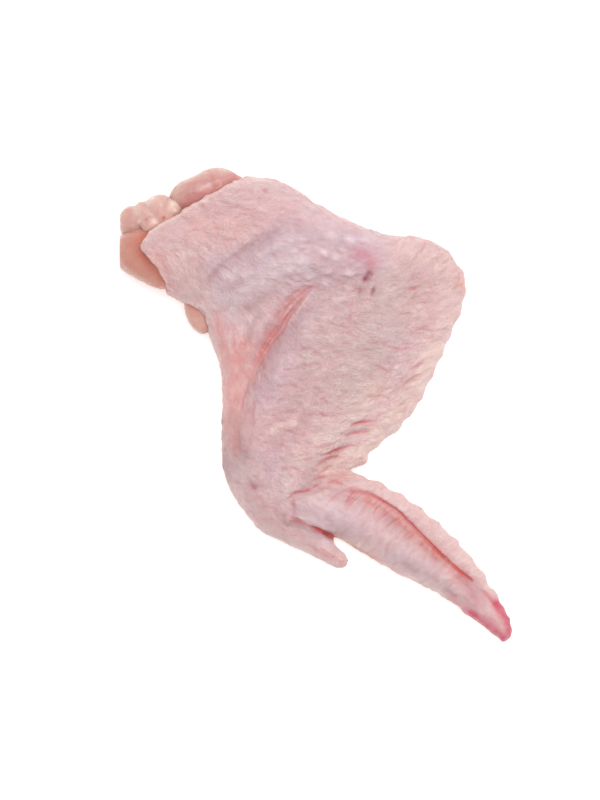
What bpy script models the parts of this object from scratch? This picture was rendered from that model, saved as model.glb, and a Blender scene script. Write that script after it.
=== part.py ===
"""A whole raw chicken wing, lying flat on its inner side with its outer side up.

Seen from above, the shoulder is at the upper left. The upper arm runs right to the elbow, the
forearm runs down and left to the wrist, and the hand runs down and right to the wing's tip.
The front edge is on the left, with a web of skin across the bend of the elbow, and the rear
edge is on the right, where feathers sat in a loose margin of skin.

Three solids: the skin with the limb inside it, the meat that shows where the shoulder was cut
and runs on through the upper arm, and the lumpy tissue of the shoulder joint.

Lengths are in millimetres and turned into metres where a mesh is made. The origin is the middle
of the wing's outline, on the surface that it lies on. +X points right, +Y towards the shoulder
and +Z up.
"""

import bmesh
import bpy
import numpy as np
from mathutils import Matrix

MM = 0.001

# How finely the soft forms are made
SKIN_VOXEL = 0.75
MEAT_VOXEL = 0.9
JOINT_VOXEL = 0.6
RING_POINTS = 20
RING_STEP = 1.5
LINE_STEP = 1.5
TOOTH_STEP = 0.5
SKIN_TRIANGLES = 8800
MEAT_TRIANGLES = 1500
JOINT_TRIANGLES = 700

# The plate that the skin starts as goes this far up and down, and its rim loses this in softening
PLATE = 4.0
SKIN_SWELL = 0.3

# Gaps between skin and meat: at the lip where the skin was cut, and deep inside, past LIP_XS
LIP_GAP = 1.3
DEEP_GAP = 0.45
LIP_XS = (-50, -36)
JOINT_GAP = 0.35

# The cutters reach this far past the wing
PAST = 80
WELD = 0.01

# The skin's outline seen from above, in runs that meet at its corners. Its left end, over the
# shoulder, is cut away afterwards along SKIN_EDGE.
REAR_RUN = [
    (-20, 70.6),
    (-12, 69.7),
    (-4.8, 65.4),
    (3.2, 60.4),
    (12, 56),
    (22, 52.8),
    (31, 52.3),
    (39, 49.3),
    (44.3, 43.5),
    (46.3, 37.5),
    (44.9, 30),
    (40.9, 20.5),
    (36, 9.6),
    (30.3, -1.2),
    (23.5, -8.7),
    (16.9, -13.8),
    (14.2, -17.4),
    (8.5, -20.3),
]
FLAP_RUN = [
    (8.5, -20.3),
    (15.1, -22.2),
    (22.3, -25.4),
    (28.4, -29.2),
    (34.5, -33.7),
    (40.4, -38.9),
    (46.2, -45.1),
    (51.5, -52),
    (56.2, -59.4),
    (59.9, -66.4),
    (60.7, -70.6),
    (58.7, -73.8),
]
TIP_RUN = [(58.7, -73.8), (50, -67.3), (37.8, -58.2), (24.6, -51.8), (10, -43.1), (3.6, -39.6)]
FRONT_RUN = [
    (3.6, -39.6),
    (6.6, -43.4),
    (9.7, -47),
    (9.3, -49.9),
    (6, -50.2),
    (0, -47.3),
    (-8.1, -43.6),
    (-15.3, -40),
    (-20.9, -34.7),
    (-25.9, -27.2),
    (-29.2, -19.1),
    (-29.2, -10),
    (-29, 0),
    (-29.4, 10),
    (-31.7, 18),
    (-34.4, 24),
    (-38.5, 29.6),
    (-47, 33.5),
    (-57, 36),
    (-65, 45),
    (-62, 58),
    (-50, 68),
    (-36, 74),
    (-20, 70.6),
]
# Feather quills left blunt teeth along the rear edges: where they begin and end, pitch, depth.
# Each tooth rises over this share of its pitch, and drops over the rest.
REAR_TEETH = (62.4, 146, 6.95, 1.2)
FLAP_TEETH = (0.6, 72, 7.2, 1.4)
TOOTH_PEAK = 0.72

# What lies under the skin raises it along a line: x, y, height, and how far the rise reaches to
# the left and to the right of the way the line runs
UPPER_ARM = [
    (-66, 46, 19, 15, 15),
    (-50, 46.5, 21.2, 17, 17),
    (-36, 48.5, 23.6, 19, 21),
    (-20, 50.5, 25.3, 21, 23),
    (-6, 50, 25, 19, 18),
    (8, 47, 22.5, 15, 14),
    (20, 44.5, 19.5, 12, 12),
    (29, 42.5, 14.5, 10, 10),
]
FRONT_BONE = [
    (12, 43, 16.5, 13, 9),
    (2, 31, 17, 17, 8.5),
    (-7, 17, 16.8, 18, 8.5),
    (-14, 2, 16, 16, 9),
    (-18, -13, 15.4, 13, 10),
    (-18, -26, 14, 10, 10),
]
REAR_BONE = [
    (24, 45, 18.5, 10, 13),
    (20, 33, 18.2, 12, 17),
    (13, 17, 16.6, 13, 18),
    (4, 0, 15.4, 12.5, 15),
    (-4, -15, 14.4, 10, 12),
    (-9, -27, 13.4, 8, 9),
]
WEB_EDGE = [
    (-42, 36, 15, 8, 6),
    (-33, 27, 12.5, 11, 6),
    (-27.5, 14, 10.5, 8, 6),
    (-26, 0, 10, 6, 6),
    (-25, -12, 12, 6, 6),
]
HAND_BONE = [
    (-12, -29, 13.2, 8, 9),
    (0, -30.5, 13.6, 8, 9),
    (12, -35.5, 12.8, 8, 8.5),
    (25, -43.5, 11.3, 7, 7.5),
    (38, -53, 9.4, 5.5, 6.5),
    (50, -62.5, 7.6, 4.5, 5),
    (59, -70.5, 5.6, 4, 4),
]
THUMB_BONE = [
    (-17, -33.5, 11, 6, 6),
    (-8, -39.5, 9.6, 5, 5),
    (1, -44, 8.2, 4.5, 4.5),
    (8, -47.6, 6.2, 4, 4),
]
SHOULDER_MUSCLE = [
    (-50, 56, 14, 5, 6),
    (-43, 61.5, 17, 6, 7),
    (-36, 65.5, 18.4, 8, 8),
    (-28, 67, 18.6, 8, 8),
    (-20, 65, 17.8, 8, 8),
    (-10, 60.5, 16, 8, 9),
]
ELBOW_SKIN = [
    (20, 41.5, 17, 6, 6),
    (8, 40, 17.6, 7, 6),
    (-2, 37.5, 17.2, 7, 6),
    (-10, 32, 15.4, 7, 5.5),
    (-17, 24, 13, 6, 5),
    (-22, 12, 10.6, 4.5, 4.5),
]
UNDER_SKIN = [
    UPPER_ARM,
    SHOULDER_MUSCLE,
    ELBOW_SKIN,
    FRONT_BONE,
    REAR_BONE,
    WEB_EDGE,
    HAND_BONE,
    THUMB_BONE,
]
RISE_POWER = 2.6
# Elsewhere the skin is a thin double sheet, with fat along the rear margin: x, y, extra height
SHEET_TOP = 5.6
REAR_FAT = [(30, 48, 3.4), (33, 30, 3.2), (24, 8, 2.6), (12, -8, 2.0), (4, -18, 1.6)]
REAR_FAT_REACH = 13
# How softly one form runs into the next
BLEND = 1.5

# The rim: what share of the height it lies at, how round it is for its height, and how blunt
RIM_SHARE = 0.42
RIM_ROUNDNESS = 0.55
RIM_RADII = (2.4, 12)
RIM_BLUNTNESS = 0.22

# The underside rests on the table under the bones, and is hollow under thin skin
REST_DEPTH = -0.7
HOLLOW_HEIGHT = 1.9
HOLLOW_TOPS = (7.5, 13)
THINNEST = 2.6

# A muscle is a row of sections along its length: x and y of the middle, half width to the left
# and to the right of the way it runs, bottom, top
SECTION_FULLNESS = 2.3
MEAT_CORE = [
    (-60.8, 47.4, 4.6, 4.2, 5, 12.5),
    (-58, 47.3, 6.6, 5.8, 3.5, 14.5),
    (-52, 47, 8.5, 8.8, 2.5, 16.5),
    (-44, 46.9, 10.5, 10.8, 2.2, 18),
    (-32, 48.5, 12, 11, 2.2, 19.5),
    (-20, 50, 12, 11, 2.2, 20.5),
    (-10, 50, 10, 9, 3, 19),
    (-3, 49.5, 6, 5.5, 5, 16),
]
UPPER_MUSCLE = [
    (-44.7, 63.4, 1.6, 2, 6, 11),
    (-41.7, 64.6, 3.4, 5, 4, 14),
    (-37, 66.2, 4.8, 6.5, 3, 15.4),
    (-31, 67.3, 6.6, 7, 3, 14.6),
    (-25.6, 66.2, 5.4, 7, 4, 12.6),
    (-20, 61.5, 3.4, 6, 5, 13),
]
LOWER_MUSCLE = [
    (-31, 43, 5, 5, 4, 12),
    (-34.5, 36, 5, 4.8, 3.4, 11),
    (-37, 30.4, 4.4, 3.4, 3, 9.8),
    (-35.9, 26, 3.6, 2.8, 3, 9),
    (-34, 23.6, 1.8, 1.6, 3.6, 8),
]

# The lumps of the shoulder joint: x, y, z, radius
JOINT_LUMPS = [
    (-56.6, 57.4, 9, 4.2),
    (-57.4, 55.2, 8.5, 3.1),
    (-52.8, 58.6, 10, 4.3),
    (-48.6, 60.8, 10.5, 4.3),
    (-44.8, 60.4, 10, 3.6),
    (-51, 55.8, 12.5, 3.2),
    (-47, 57.2, 12.5, 3.2),
]

# Where the skin was cut, seen from above, from the front corner round to the rear
SKIN_EDGE = [
    (-35, 18),
    (-34.2, 24),
    (-35.4, 27.2),
    (-38, 30),
    (-42.5, 32.4),
    (-46.6, 34.5),
    (-47.4, 39.5),
    (-50.2, 43.5),
    (-54.3, 48.2),
    (-53, 51.6),
    (-50, 54.8),
    (-44, 58.2),
    (-39, 61.4),
    (-33, 65),
    (-28, 67.6),
    (-25, 69.6),
    (-21.5, 71.2),
    (-21, 80),
]

# Folds are valleys along a line, and ridges are raised along one: line, half width, depth
FOLDS = [
    ([(3, 39), (-3, 36), (-8, 31.5), (-12, 25.5), (-16, 19.5), (-20.5, 12), (-23.5, 4)], 1.6, 1.5),
    ([(-35, 31), (-33.5, 38), (-29, 43.5), (-21, 48), (-15, 53), (-10, 58), (-5, 62)], 2.6, 1.6),
    ([(-10, -29.5), (-6.5, -28.2), (-2, -26.2), (2, -25.2), (6, -24)], 1.6, 2.4),
    ([(-1, -21), (3, -18), (8, -14.6), (13.5, -12.4)], 1.5, 1.8),
    ([(7, -10.5), (12, -8.4), (18, -5.2)], 1.4, 1.4),
    ([(-9, -34.8), (-4, -36.8), (0, -38.3), (5, -40.6), (10, -43)], 1.1, 4.2),
    ([(7, -25.8), (13, -26.8), (19, -29.4), (28, -36.6), (38, -46.3), (48, -55), (57, -64.5)], 1.4, 2.0),
]
RIDGES = [
    ([(-4, 38), (-9, 31.5), (-14, 24)], 2.2, 0.9),
    ([(30, 50), (38, 40), (38, 25), (31, 8), (20, -6)], 3.5, 0.7),
    ([(12, -24), (22, -28.4), (32, -35.4), (42, -44.4), (52, -55.4)], 1.8, 0.7),
]
# Pits left by plucked quills near the elbow: x, y, radius, depth
PITS = [(15.6, 39.6, 1.6, 2.2), (17.6, 35.0, 1.2, 1.2), (12.6, 35.4, 1.1, 1.0)]

# Colour and roughness of each finish
SKIN_FINISH = ((0.72, 0.48, 0.45, 1.0), 0.45)
MEAT_FINISH = ((0.65, 0.30, 0.24, 1.0), 0.35)
JOINT_FINISH = ((0.74, 0.48, 0.40, 1.0), 0.35)


def smooth_rows(rows, step):
    """Rows read off a smooth curve through the given rows, about one step apart in x and y."""
    rows = np.array(rows, float)
    padded = np.vstack([2 * rows[0] - rows[1], rows, 2 * rows[-1] - rows[-2]])
    made = []
    for before, start, end, after in zip(padded, padded[1:], padded[2:], padded[3:]):
        count = max(1, round(np.hypot(*(end - start)[:2]) / step))
        for t in np.arange(count) / count:
            bend = (2 * before - 5 * start + 4 * end - after) * t**2
            twist = (3 * start - before - 3 * end + after) * t**3
            made.append((2 * start + (end - before) * t + bend + twist) / 2)
    return np.array(made + [rows[-1]])


def placed(mesh, name, collection):
    """A mesh as an object in a collection."""
    made = bpy.data.objects.new(name, mesh)
    collection.objects.link(made)
    return made


def muscle(sections):
    """Points and faces of a closed loft through a muscle's sections, each a superellipse."""
    rows = smooth_rows(sections, RING_STEP)
    along = np.gradient(rows[:, :2], axis=0)
    along /= np.linalg.norm(along, axis=1)[:, None]
    left = np.column_stack([-along[:, 1], along[:, 0]])
    angle = np.arange(RING_POINTS) / RING_POINTS * 2 * np.pi
    across = np.sign(np.cos(angle)) * np.abs(np.cos(angle)) ** (2 / SECTION_FULLNESS)
    up = np.sign(np.sin(angle)) * np.abs(np.sin(angle)) ** (2 / SECTION_FULLNESS)
    points = []
    for row, side in zip(rows, left):
        reach = np.where(across > 0, row[2], row[3]) * across
        middle, half = (row[4] + row[5]) / 2, (row[5] - row[4]) / 2
        points.append(np.column_stack([row[:2] + reach[:, None] * side, middle + half * up]))
    last = (len(rows) - 1) * RING_POINTS
    faces = [tuple(range(RING_POINTS)), tuple(last + k for k in reversed(range(RING_POINTS)))]
    for ring in range(0, last, RING_POINTS):
        for k in range(RING_POINTS):
            a, b = ring + k, ring + (k + 1) % RING_POINTS
            faces.append((b, a, a + RING_POINTS, b + RING_POINTS))
    return np.vstack(points), faces


def joined(forms, name, collection):
    """One object holding several closed forms, which still overlap."""
    points, faces, start = [], [], 0
    for form_points, form_faces in forms:
        points.append(form_points)
        faces += [tuple(start + k for k in face) for face in form_faces]
        start += len(form_points)
    mesh = bpy.data.meshes.new(name)
    mesh.from_pydata((np.vstack(points) * MM).tolist(), [], faces)
    return placed(mesh, name, collection)


def applied(source, name, collection):
    """A new object with the source's modifiers applied. The source is removed."""
    graph = bpy.context.evaluated_depsgraph_get()
    mesh = bpy.data.meshes.new_from_object(source.evaluated_get(graph))
    bpy.data.objects.remove(source)
    return placed(mesh, name, collection)


def melted(body, name, voxel, rounds, collection):
    """Overlapping forms melted into one body, and softened by that many rounds of smoothing."""
    remesh = body.modifiers.new("melt", "REMESH")
    remesh.mode = "VOXEL"
    remesh.voxel_size = voxel * MM
    smooth = body.modifiers.new("soften", "SMOOTH")
    smooth.factor = 0.5
    smooth.iterations = rounds
    return applied(body, name, collection)


def read_points(mesh):
    """The points of a mesh and their normals, points in millimetres."""
    points = np.empty(len(mesh.vertices) * 3)
    normals = np.empty(len(mesh.vertices) * 3)
    mesh.vertices.foreach_get("co", points)
    mesh.vertices.foreach_get("normal", normals)
    return points.reshape(-1, 3) / MM, normals.reshape(-1, 3)


def write_points(mesh, points):
    """Moves a mesh's points to places in millimetres."""
    mesh.vertices.foreach_set("co", (points * MM).ravel())
    mesh.update()


def nearest_on_line(points, line):
    """For each point: its distance from a line, its share of the way along it, and its side."""
    best = np.full(len(points), np.inf)
    run = np.zeros(len(points))
    side = np.zeros(len(points))
    done = 0.0
    for start, end in zip(line, line[1:]):
        way = end - start
        length = np.hypot(*way)
        offset = points[:, :2] - start
        share = np.clip(offset @ way / length**2, 0, 1)
        gap = offset - share[:, None] * way
        distance = np.hypot(gap[:, 0], gap[:, 1])
        closer = distance < best
        best[closer] = distance[closer]
        run[closer] = done + share[closer] * length
        side[closer] = np.sign(way[0] * gap[closer, 1] - way[1] * gap[closer, 0])
        done += length
    return best, run / done, side


def eased(value, start, end):
    """0 up to start, 1 from end on, and a soft step between."""
    share = np.clip((value - start) / (end - start), 0, 1)
    return share * share * (3 - 2 * share)


def rise(points, crest):
    """How high a bone or muscle lifts the skin at each point."""
    rows = smooth_rows(crest, LINE_STEP)
    distance, share, side = nearest_on_line(points, rows[:, :2])
    lengths = np.concatenate([[0], np.cumsum(np.hypot(*np.diff(rows[:, :2], axis=0).T))])
    height, left, right = (np.interp(share * lengths[-1], lengths, rows[:, k]) for k in (2, 3, 4))
    return height * np.exp(-((distance / np.where(side > 0, left, right)) ** RISE_POWER))


def valley(points, line, half_width):
    """1 along the middle of a line, falling away to each side and towards its ends."""
    distance, share, _ = nearest_on_line(points, smooth_rows(line, LINE_STEP))
    taper = 0.2 + 0.8 * eased(np.minimum(share, 1 - share), 0, 0.25)
    return taper * np.exp(-((distance / half_width) ** 2))


def toothed(line, first, last, pitch, depth):
    """A smooth line pushed out in blunt teeth between two lengths along it."""
    line = smooth_rows(line, TOOTH_STEP)
    way = np.gradient(line, axis=0)
    way /= np.linalg.norm(way, axis=1)[:, None]
    outward = np.column_stack([-way[:, 1], way[:, 0]])
    length = np.concatenate([[0], np.cumsum(np.hypot(*np.diff(line, axis=0).T))])
    phase = (length - first) / pitch % 1
    tooth = np.where(phase < TOOTH_PEAK, phase / TOOTH_PEAK, (1 - phase) / (1 - TOOTH_PEAK)) - 0.5
    shown = eased(length, first, first + pitch) * (1 - eased(length, last - pitch, last))
    return line + (depth * tooth * shown)[:, None] * outward


def skin_outline():
    """The outline of the skin, without its last point, which is its first one again."""
    runs = [
        toothed(REAR_RUN, *REAR_TEETH),
        toothed(FLAP_RUN, *FLAP_TEETH),
        smooth_rows(TIP_RUN, LINE_STEP),
        smooth_rows(FRONT_RUN, LINE_STEP),
    ]
    return np.vstack([run[:-1] for run in runs])


def skin_top(points):
    """The height of the skin's outer side, before its rim is rounded."""
    rises = [rise(points, crest) for crest in UNDER_SKIN]
    rows = smooth_rows(REAR_FAT, LINE_STEP)
    distance, share, _ = nearest_on_line(points, rows[:, :2])
    fat = np.interp(share, np.linspace(0, 1, len(rows)), rows[:, 2])
    sheet = SHEET_TOP + fat * np.exp(-((distance / REAR_FAT_REACH) ** 2))
    top = BLEND * np.log(np.sum([np.exp(one / BLEND) for one in [sheet, *rises]], axis=0))
    for line, half_width, depth in FOLDS:
        top -= depth * valley(points, line, half_width)
    for line, half_width, height in RIDGES:
        top += height * valley(points, line, half_width)
    for x, y, radius, depth in PITS:
        top -= depth * np.exp(-((np.hypot(points[:, 0] - x, points[:, 1] - y) / radius) ** 2))
    return top


def decimated(body, name, triangles, collection):
    """The body with about that many triangles."""
    body.data.calc_loop_triangles()
    thin = body.modifiers.new("thin_out", "DECIMATE")
    thin.ratio = min(1.0, triangles / len(body.data.loop_triangles))
    thin.use_collapse_triangulate = True
    return applied(body, name, collection)


def grown(body, name, gap, collection):
    """A copy of a body swollen along its normals by a gap, which may differ from point to point."""
    mesh = body.data.copy()
    points, normals = read_points(mesh)
    write_points(mesh, points + normals * np.broadcast_to(gap(points), len(points))[:, None])
    return placed(mesh, name, collection)


def prism(outline, name, bottom, top, collection):
    """A flat outline carried up from bottom to top."""
    curve = bpy.data.curves.new(name, "CURVE")
    curve.dimensions = "2D"
    curve.fill_mode = "BOTH"
    curve.extrude = (top - bottom) / 2 * MM
    spline = curve.splines.new("POLY")
    spline.use_cyclic_u = True
    spline.points.add(len(outline) - 1)
    for point, (x, y) in zip(spline.points, outline):
        point.co = (x * MM, y * MM, 0, 1)
    made = applied(placed(curve, name + "_outline", collection), name, collection)
    shape = bmesh.new()
    shape.from_mesh(made.data)
    bmesh.ops.translate(shape, verts=shape.verts, vec=(0, 0, (bottom + top) / 2 * MM))
    bmesh.ops.remove_doubles(shape, verts=shape.verts, dist=WELD * MM)
    bmesh.ops.recalc_face_normals(shape, faces=shape.faces)
    shape.to_mesh(made.data)
    shape.free()
    return made


def cut(body, cutter):
    """Cuts one body out of another."""
    cutter.hide_render = True
    cutter.display_type = "WIRE"
    boolean = body.modifiers.new("less_" + cutter.name, "BOOLEAN")
    boolean.operation = "DIFFERENCE"
    boolean.solver = "EXACT"
    boolean.object = cutter


def painted(body, name, colour, roughness):
    """Gives a body a material of its own."""
    material = bpy.data.materials.new(name)
    material.use_nodes = True
    shader = material.node_tree.nodes["Principled BSDF"]
    shader.inputs["Base Color"].default_value = colour
    shader.inputs["Roughness"].default_value = roughness
    body.data.materials.clear()
    body.data.materials.append(material)
    body.data.shade_smooth()


def new_collection(name):
    """An empty collection in the scene."""
    made = bpy.data.collections.new(name)
    bpy.context.scene.collection.children.link(made)
    return made


def skin_body(collection):
    """The wing in its skin, before its shoulder end is opened: a plate, raised and rounded."""
    outline = skin_outline()
    plate = prism(outline, "skin_plate", -PLATE, PLATE, collection)
    body = melted(plate, "skin_form", SKIN_VOXEL, 0, collection)
    points, _ = read_points(body.data)
    top = skin_top(points)
    rim = RIM_SHARE * top
    under = REST_DEPTH + (HOLLOW_HEIGHT - REST_DEPTH) * (1 - eased(top, *HOLLOW_TOPS))
    under = np.minimum(under, top - THINNEST)
    depth, _, _ = nearest_on_line(points, np.vstack([outline, outline[:1]]))
    radius = np.clip(RIM_ROUNDNESS * top, *RIM_RADII)
    fullness = np.sqrt(1 - (1 - np.clip(depth / radius, 0, 1)) ** 2)
    fullness = RIM_BLUNTNESS + (1 - RIM_BLUNTNESS) * fullness
    level = np.clip(points[:, 2] / PLATE, -1, 1)
    points[:, 2] = rim + fullness * np.where(level > 0, level * (top - rim), level * (rim - under))
    write_points(body.data, points)
    soft = melted(body, "skin_soft", SKIN_VOXEL, 3, collection)
    points, normals = read_points(soft.data)
    write_points(soft.data, points + normals * SKIN_SWELL)
    return decimated(soft, "wing_skin", SKIN_TRIANGLES, collection)


def meat_body(collection):
    """The meat of the upper arm, with the muscle ends that show at the cut."""
    forms = [muscle(rows) for rows in (MEAT_CORE, UPPER_MUSCLE, LOWER_MUSCLE)]
    body = melted(joined(forms, "muscles", collection), "meat_form", MEAT_VOXEL, 4, collection)
    return decimated(body, "wing_meat", MEAT_TRIANGLES, collection)


def joint_body(collection):
    """The round lumps of the shoulder joint, melted together."""
    shape = bmesh.new()
    for x, y, z, radius in JOINT_LUMPS:
        place = Matrix.Translation((x * MM, y * MM, z * MM))
        bmesh.ops.create_uvsphere(shape, u_segments=16, v_segments=10, radius=radius * MM, matrix=place)
    mesh = bpy.data.meshes.new("joint_lumps")
    shape.to_mesh(mesh)
    shape.free()
    lumps = placed(mesh, "joint_lumps", collection)
    body = melted(lumps, "joint_form", JOINT_VOXEL, 2, collection)
    return decimated(body, "joint_tissue", JOINT_TRIANGLES, collection)


def floor_block(collection):
    """A block that fills the space under the surface that the wing lies on."""
    shape = bmesh.new()
    size = 3 * PAST * MM
    bmesh.ops.create_cube(shape, size=size, matrix=Matrix.Translation((0, 0, -size / 2)))
    mesh = bpy.data.meshes.new("floor_block")
    shape.to_mesh(mesh)
    shape.free()
    return placed(mesh, "floor_block", collection)


def skin_gap(points):
    """The gap round the meat, wide at the cut edge of the skin and narrow deep inside."""
    return LIP_GAP + (DEEP_GAP - LIP_GAP) * eased(points[:, 0], *LIP_XS)


def main():
    for old in list(bpy.data.objects):
        bpy.data.objects.remove(old)
    wing = new_collection("chicken_wing")
    cutters = new_collection("cutters")

    skin = skin_body(wing)
    meat = meat_body(wing)
    joint = joint_body(wing)

    beyond_edge = [(-PAST, SKIN_EDGE[0][1]), *SKIN_EDGE, (-PAST, SKIN_EDGE[-1][1])]
    cut(skin, floor_block(cutters))
    cut(skin, prism(beyond_edge, "shoulder_cut", -PAST, PAST, cutters))
    cut(skin, grown(meat, "meat_pocket", skin_gap, cutters))
    cut(skin, grown(joint, "joint_pocket", lambda points: LIP_GAP, cutters))
    cut(joint, grown(meat, "joint_seat", lambda points: JOINT_GAP, cutters))

    painted(skin, "skin", *SKIN_FINISH)
    painted(meat, "meat", *MEAT_FINISH)
    painted(joint, "joint_tissue", *JOINT_FINISH)


main()
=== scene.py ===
"""The looks of a raw chicken wing that lies on its inner side on a white table, seen from above.

Each of its three solids gets a finer body made from it: the skin with its folds, creases, feather
follicles and pits, the cut meat at the shoulder with its fibres and fat, and the tissue of the
shoulder joint. What shows at each place is worked out from the tables below and kept on the mesh
as named masks, which both shape the surface and colour it.

Lengths in the tables are millimetres in the frame of the solids: +X right, +Y towards the
shoulder's side, +Z up, with the origin under the middle of the wing. Ways are degrees from +X.
"""

import math

import bmesh
import bpy
import numpy as np
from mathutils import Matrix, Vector
from mathutils.bvhtree import BVHTree
from mathutils.kdtree import KDTree


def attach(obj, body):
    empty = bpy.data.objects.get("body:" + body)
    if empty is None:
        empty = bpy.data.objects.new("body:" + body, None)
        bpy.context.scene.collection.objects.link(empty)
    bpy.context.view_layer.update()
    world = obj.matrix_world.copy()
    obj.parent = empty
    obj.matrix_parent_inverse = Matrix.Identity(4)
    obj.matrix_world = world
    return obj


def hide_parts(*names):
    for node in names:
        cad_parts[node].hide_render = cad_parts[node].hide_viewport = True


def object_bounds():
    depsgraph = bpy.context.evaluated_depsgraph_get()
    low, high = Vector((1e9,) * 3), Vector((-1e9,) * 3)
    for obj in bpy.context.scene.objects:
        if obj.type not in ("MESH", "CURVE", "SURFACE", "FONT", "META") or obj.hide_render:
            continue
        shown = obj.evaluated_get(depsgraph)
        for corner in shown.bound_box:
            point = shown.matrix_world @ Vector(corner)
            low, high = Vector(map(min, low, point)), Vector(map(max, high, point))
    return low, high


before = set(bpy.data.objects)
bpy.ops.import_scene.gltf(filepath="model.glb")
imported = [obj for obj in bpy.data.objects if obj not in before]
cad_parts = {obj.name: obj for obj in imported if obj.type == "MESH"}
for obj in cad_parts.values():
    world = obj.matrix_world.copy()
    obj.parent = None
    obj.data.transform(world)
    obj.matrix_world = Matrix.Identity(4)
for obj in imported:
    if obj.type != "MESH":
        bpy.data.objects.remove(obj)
CAD_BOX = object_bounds()

bl_info = {
    "name": "Raw Chicken Wing",
    "version": (1, 0, 0),
    "blender": (4, 5, 0),
    "location": "View3D > Sidebar > Chicken Wing",
    "description": "Makes the skin, meat and joint tissue of a raw chicken wing",
    "category": "Object",
}

MM = 0.001

# Rays upwards start this far off the skin, and where one meets skin again the place is inside
RAY_START = 0.4
# Faces that point up at least this much are split once more
SPLIT_FACING = -0.1
# Points this near the side of the CAD box are held back by it
BOX_MARGIN = 0.01
# The underside stays this far off the table
TABLE_GAP = 0.02
# Places along a curve are read off this far apart
LINE_STEP = 1.2
# The faint patches on the white table
FLOOR_TINT = (0.94, 0.94, 0.94)
# Where the soft light hangs over the table: x and y, in metres
LAMP_PLACE = (0.25, 0.45)

# Soft changes of colour over the skin, some of them painted light and shade: a line, how far it
# reaches, how strong it is.
# First the cool patches over bone and tendon; the second row is painted shadow on the low side of
# the fold across the elbow
LILAC = [
    ([(-28, 40), (-18, 46), (-8, 50), (4, 50), (14, 48)], 7.5, 0.85),
    ([(-31.6, 38.6), (-29, 42.4), (-22, 46.4), (-15.6, 51.2), (-9, 55.8), (-2.6, 59.6)], 2.0, 0.9),
    ([(2, 44), (-5, 31), (-11, 18), (-15, 4)], 6.5, 0.6),
    ([(9, 53), (20, 54)], 2.6, 0.5),
    ([(10, 48), (16, 48), (20, 43)], 4.0, 0.8),
    ([(-12, -18), (-2, -32), (10, -37)], 6.0, 0.55),
    ([(24, -46), (38, -55), (48, -62)], 3.5, 0.5),
]
# Thin skin over dark meat
GREYED = [
    ([(22, 38), (20, 28), (15, 16), (9, 4)], 7.0, 0.8),
    ([(4, 30), (-1, 16), (-6, 2)], 6.0, 0.45),
    ([(-22, -20), (-18, -30), (-9, -37)], 5.0, 0.4),
    ([(26, -49), (36, -54), (45, -60)], 2.6, 0.6),
]
# Pinker skin
ROSY = [
    ([(-36, 32), (-28, 38), (-22, 38)], 3.5, 0.3),
    ([(-43, 46), (-38, 42), (-36, 34)], 4.0, 0.35),
    ([(-1, 37), (-7, 33), (-13, 28.4)], 2.4, 0.6),
    ([(-1, 37.4), (-5.6, 33), (-9, 28.6), (-14, 22)], 1.5, 0.75),
    ([(28, 47), (34, 44), (38, 38)], 7.0, 0.3),
    ([(-10, 8), (-9, -8), (-6, -18)], 7.0, 0.28),
    ([(-20, -30), (-14, -35), (-4, -36)], 4.5, 0.35),
    ([(45, -53), (50, -60)], 4.0, 0.95),
    ([(5, -43), (8.6, -46), (10, -49.4)], 1.3, 0.8),
    ([(-50, 44), (-47, 37), (-42, 34)], 3.0, 0.9),
    ([(54, -64), (58, -70)], 5.0, 1.0),
    ([(-30, 14), (-29, 0), (-28, -14)], 2.0, 0.6),
    ([(-22, 58), (-14, 57), (-4, 60)], 5.0, 0.45),
    ([(-50, 50), (-46, 52), (-42, 56)], 4.0, 0.2),
    ([(-3, 49.6), (3, 47), (9, 45.6)], 3.0, 0.28),
]
# Warm skin along the web, the groove and the thumb; along the groove it is partly painted shade on
# the hand's side
SALMON = [
    ([(-22, 18), (-24.6, 12), (-25.6, 2), (-25, -11)], 3.4, 0.95),
    ([(-5, 33.4), (-10, 27.6), (-15.6, 19.4), (-21, 9)], 2.4, 0.75),
    ([(-30.6, 26), (-28.4, 14), (-28.6, 0), (-28.4, -6)], 1.9, 0.8),
    ([(-36, 55), (-25, 54)], 5.0, 0.42),
    ([(-33, 49.6), (-27, 50)], 2.6, 0.35),
    ([(-50, 45), (-47, 36)], 3.0, 0.8),
    ([(4, -45.6), (8.4, -49.4)], 2.0, 0.6),
    ([(16, -29), (23.4, -33.6), (33, -42.6), (43.4, -52)], 1.8, 0.9),
    ([(44, 39), (45.5, 36.5)], 1.3, 0.9),
    ([(4, -22.6), (9, -21.6)], 2.2, 0.8),
]
# Fatty rims, and painted light that lifts skin lying in shade on its slopes
CREAMY_AND_LIT = [
    ([(27, 49), (38, 43), (41, 33), (37, 20), (32, 8), (26, -2)], 5.0, 0.45),
    ([(12, -24), (22, -28), (32, -35), (42, -44), (50, -54), (56, -63)], 2.8, 0.3),
    ([(37, 18), (30, 5), (23, -4)], 3.6, 0.85),
    ([(-42, 45), (-38, 39), (-35, 34)], 4.0, 0.5),
    ([(-44, 47), (-34, 51), (-24, 55)], 6.0, 0.25),
    ([(-13.5, -7.8), (-7, -5)], 1.2, 0.8),
    ([(3, -18.6), (11, -15), (19, -9)], 4.2, 0.9),
    ([(3, -43), (7.6, -46)], 2.0, 0.5),
    ([(3, -12), (11, -4), (18, 5)], 4.6, 0.9),
    ([(-8, -26), (-5, -14)], 4.0, 0.4),
    ([(-20, 70), (-10, 66.5), (-2, 62)], 3.0, 0.15),
    ([(12, -19), (18, -14), (27, -4)], 3.0, 0.8),
    ([(-27, 31), (-22, 28)], 3.0, 0.4),
    ([(9, -42.6), (14, -45)], 2.0, 0.4),
    ([(28, 27), (33, 36)], 4.0, 0.4),
]
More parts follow.
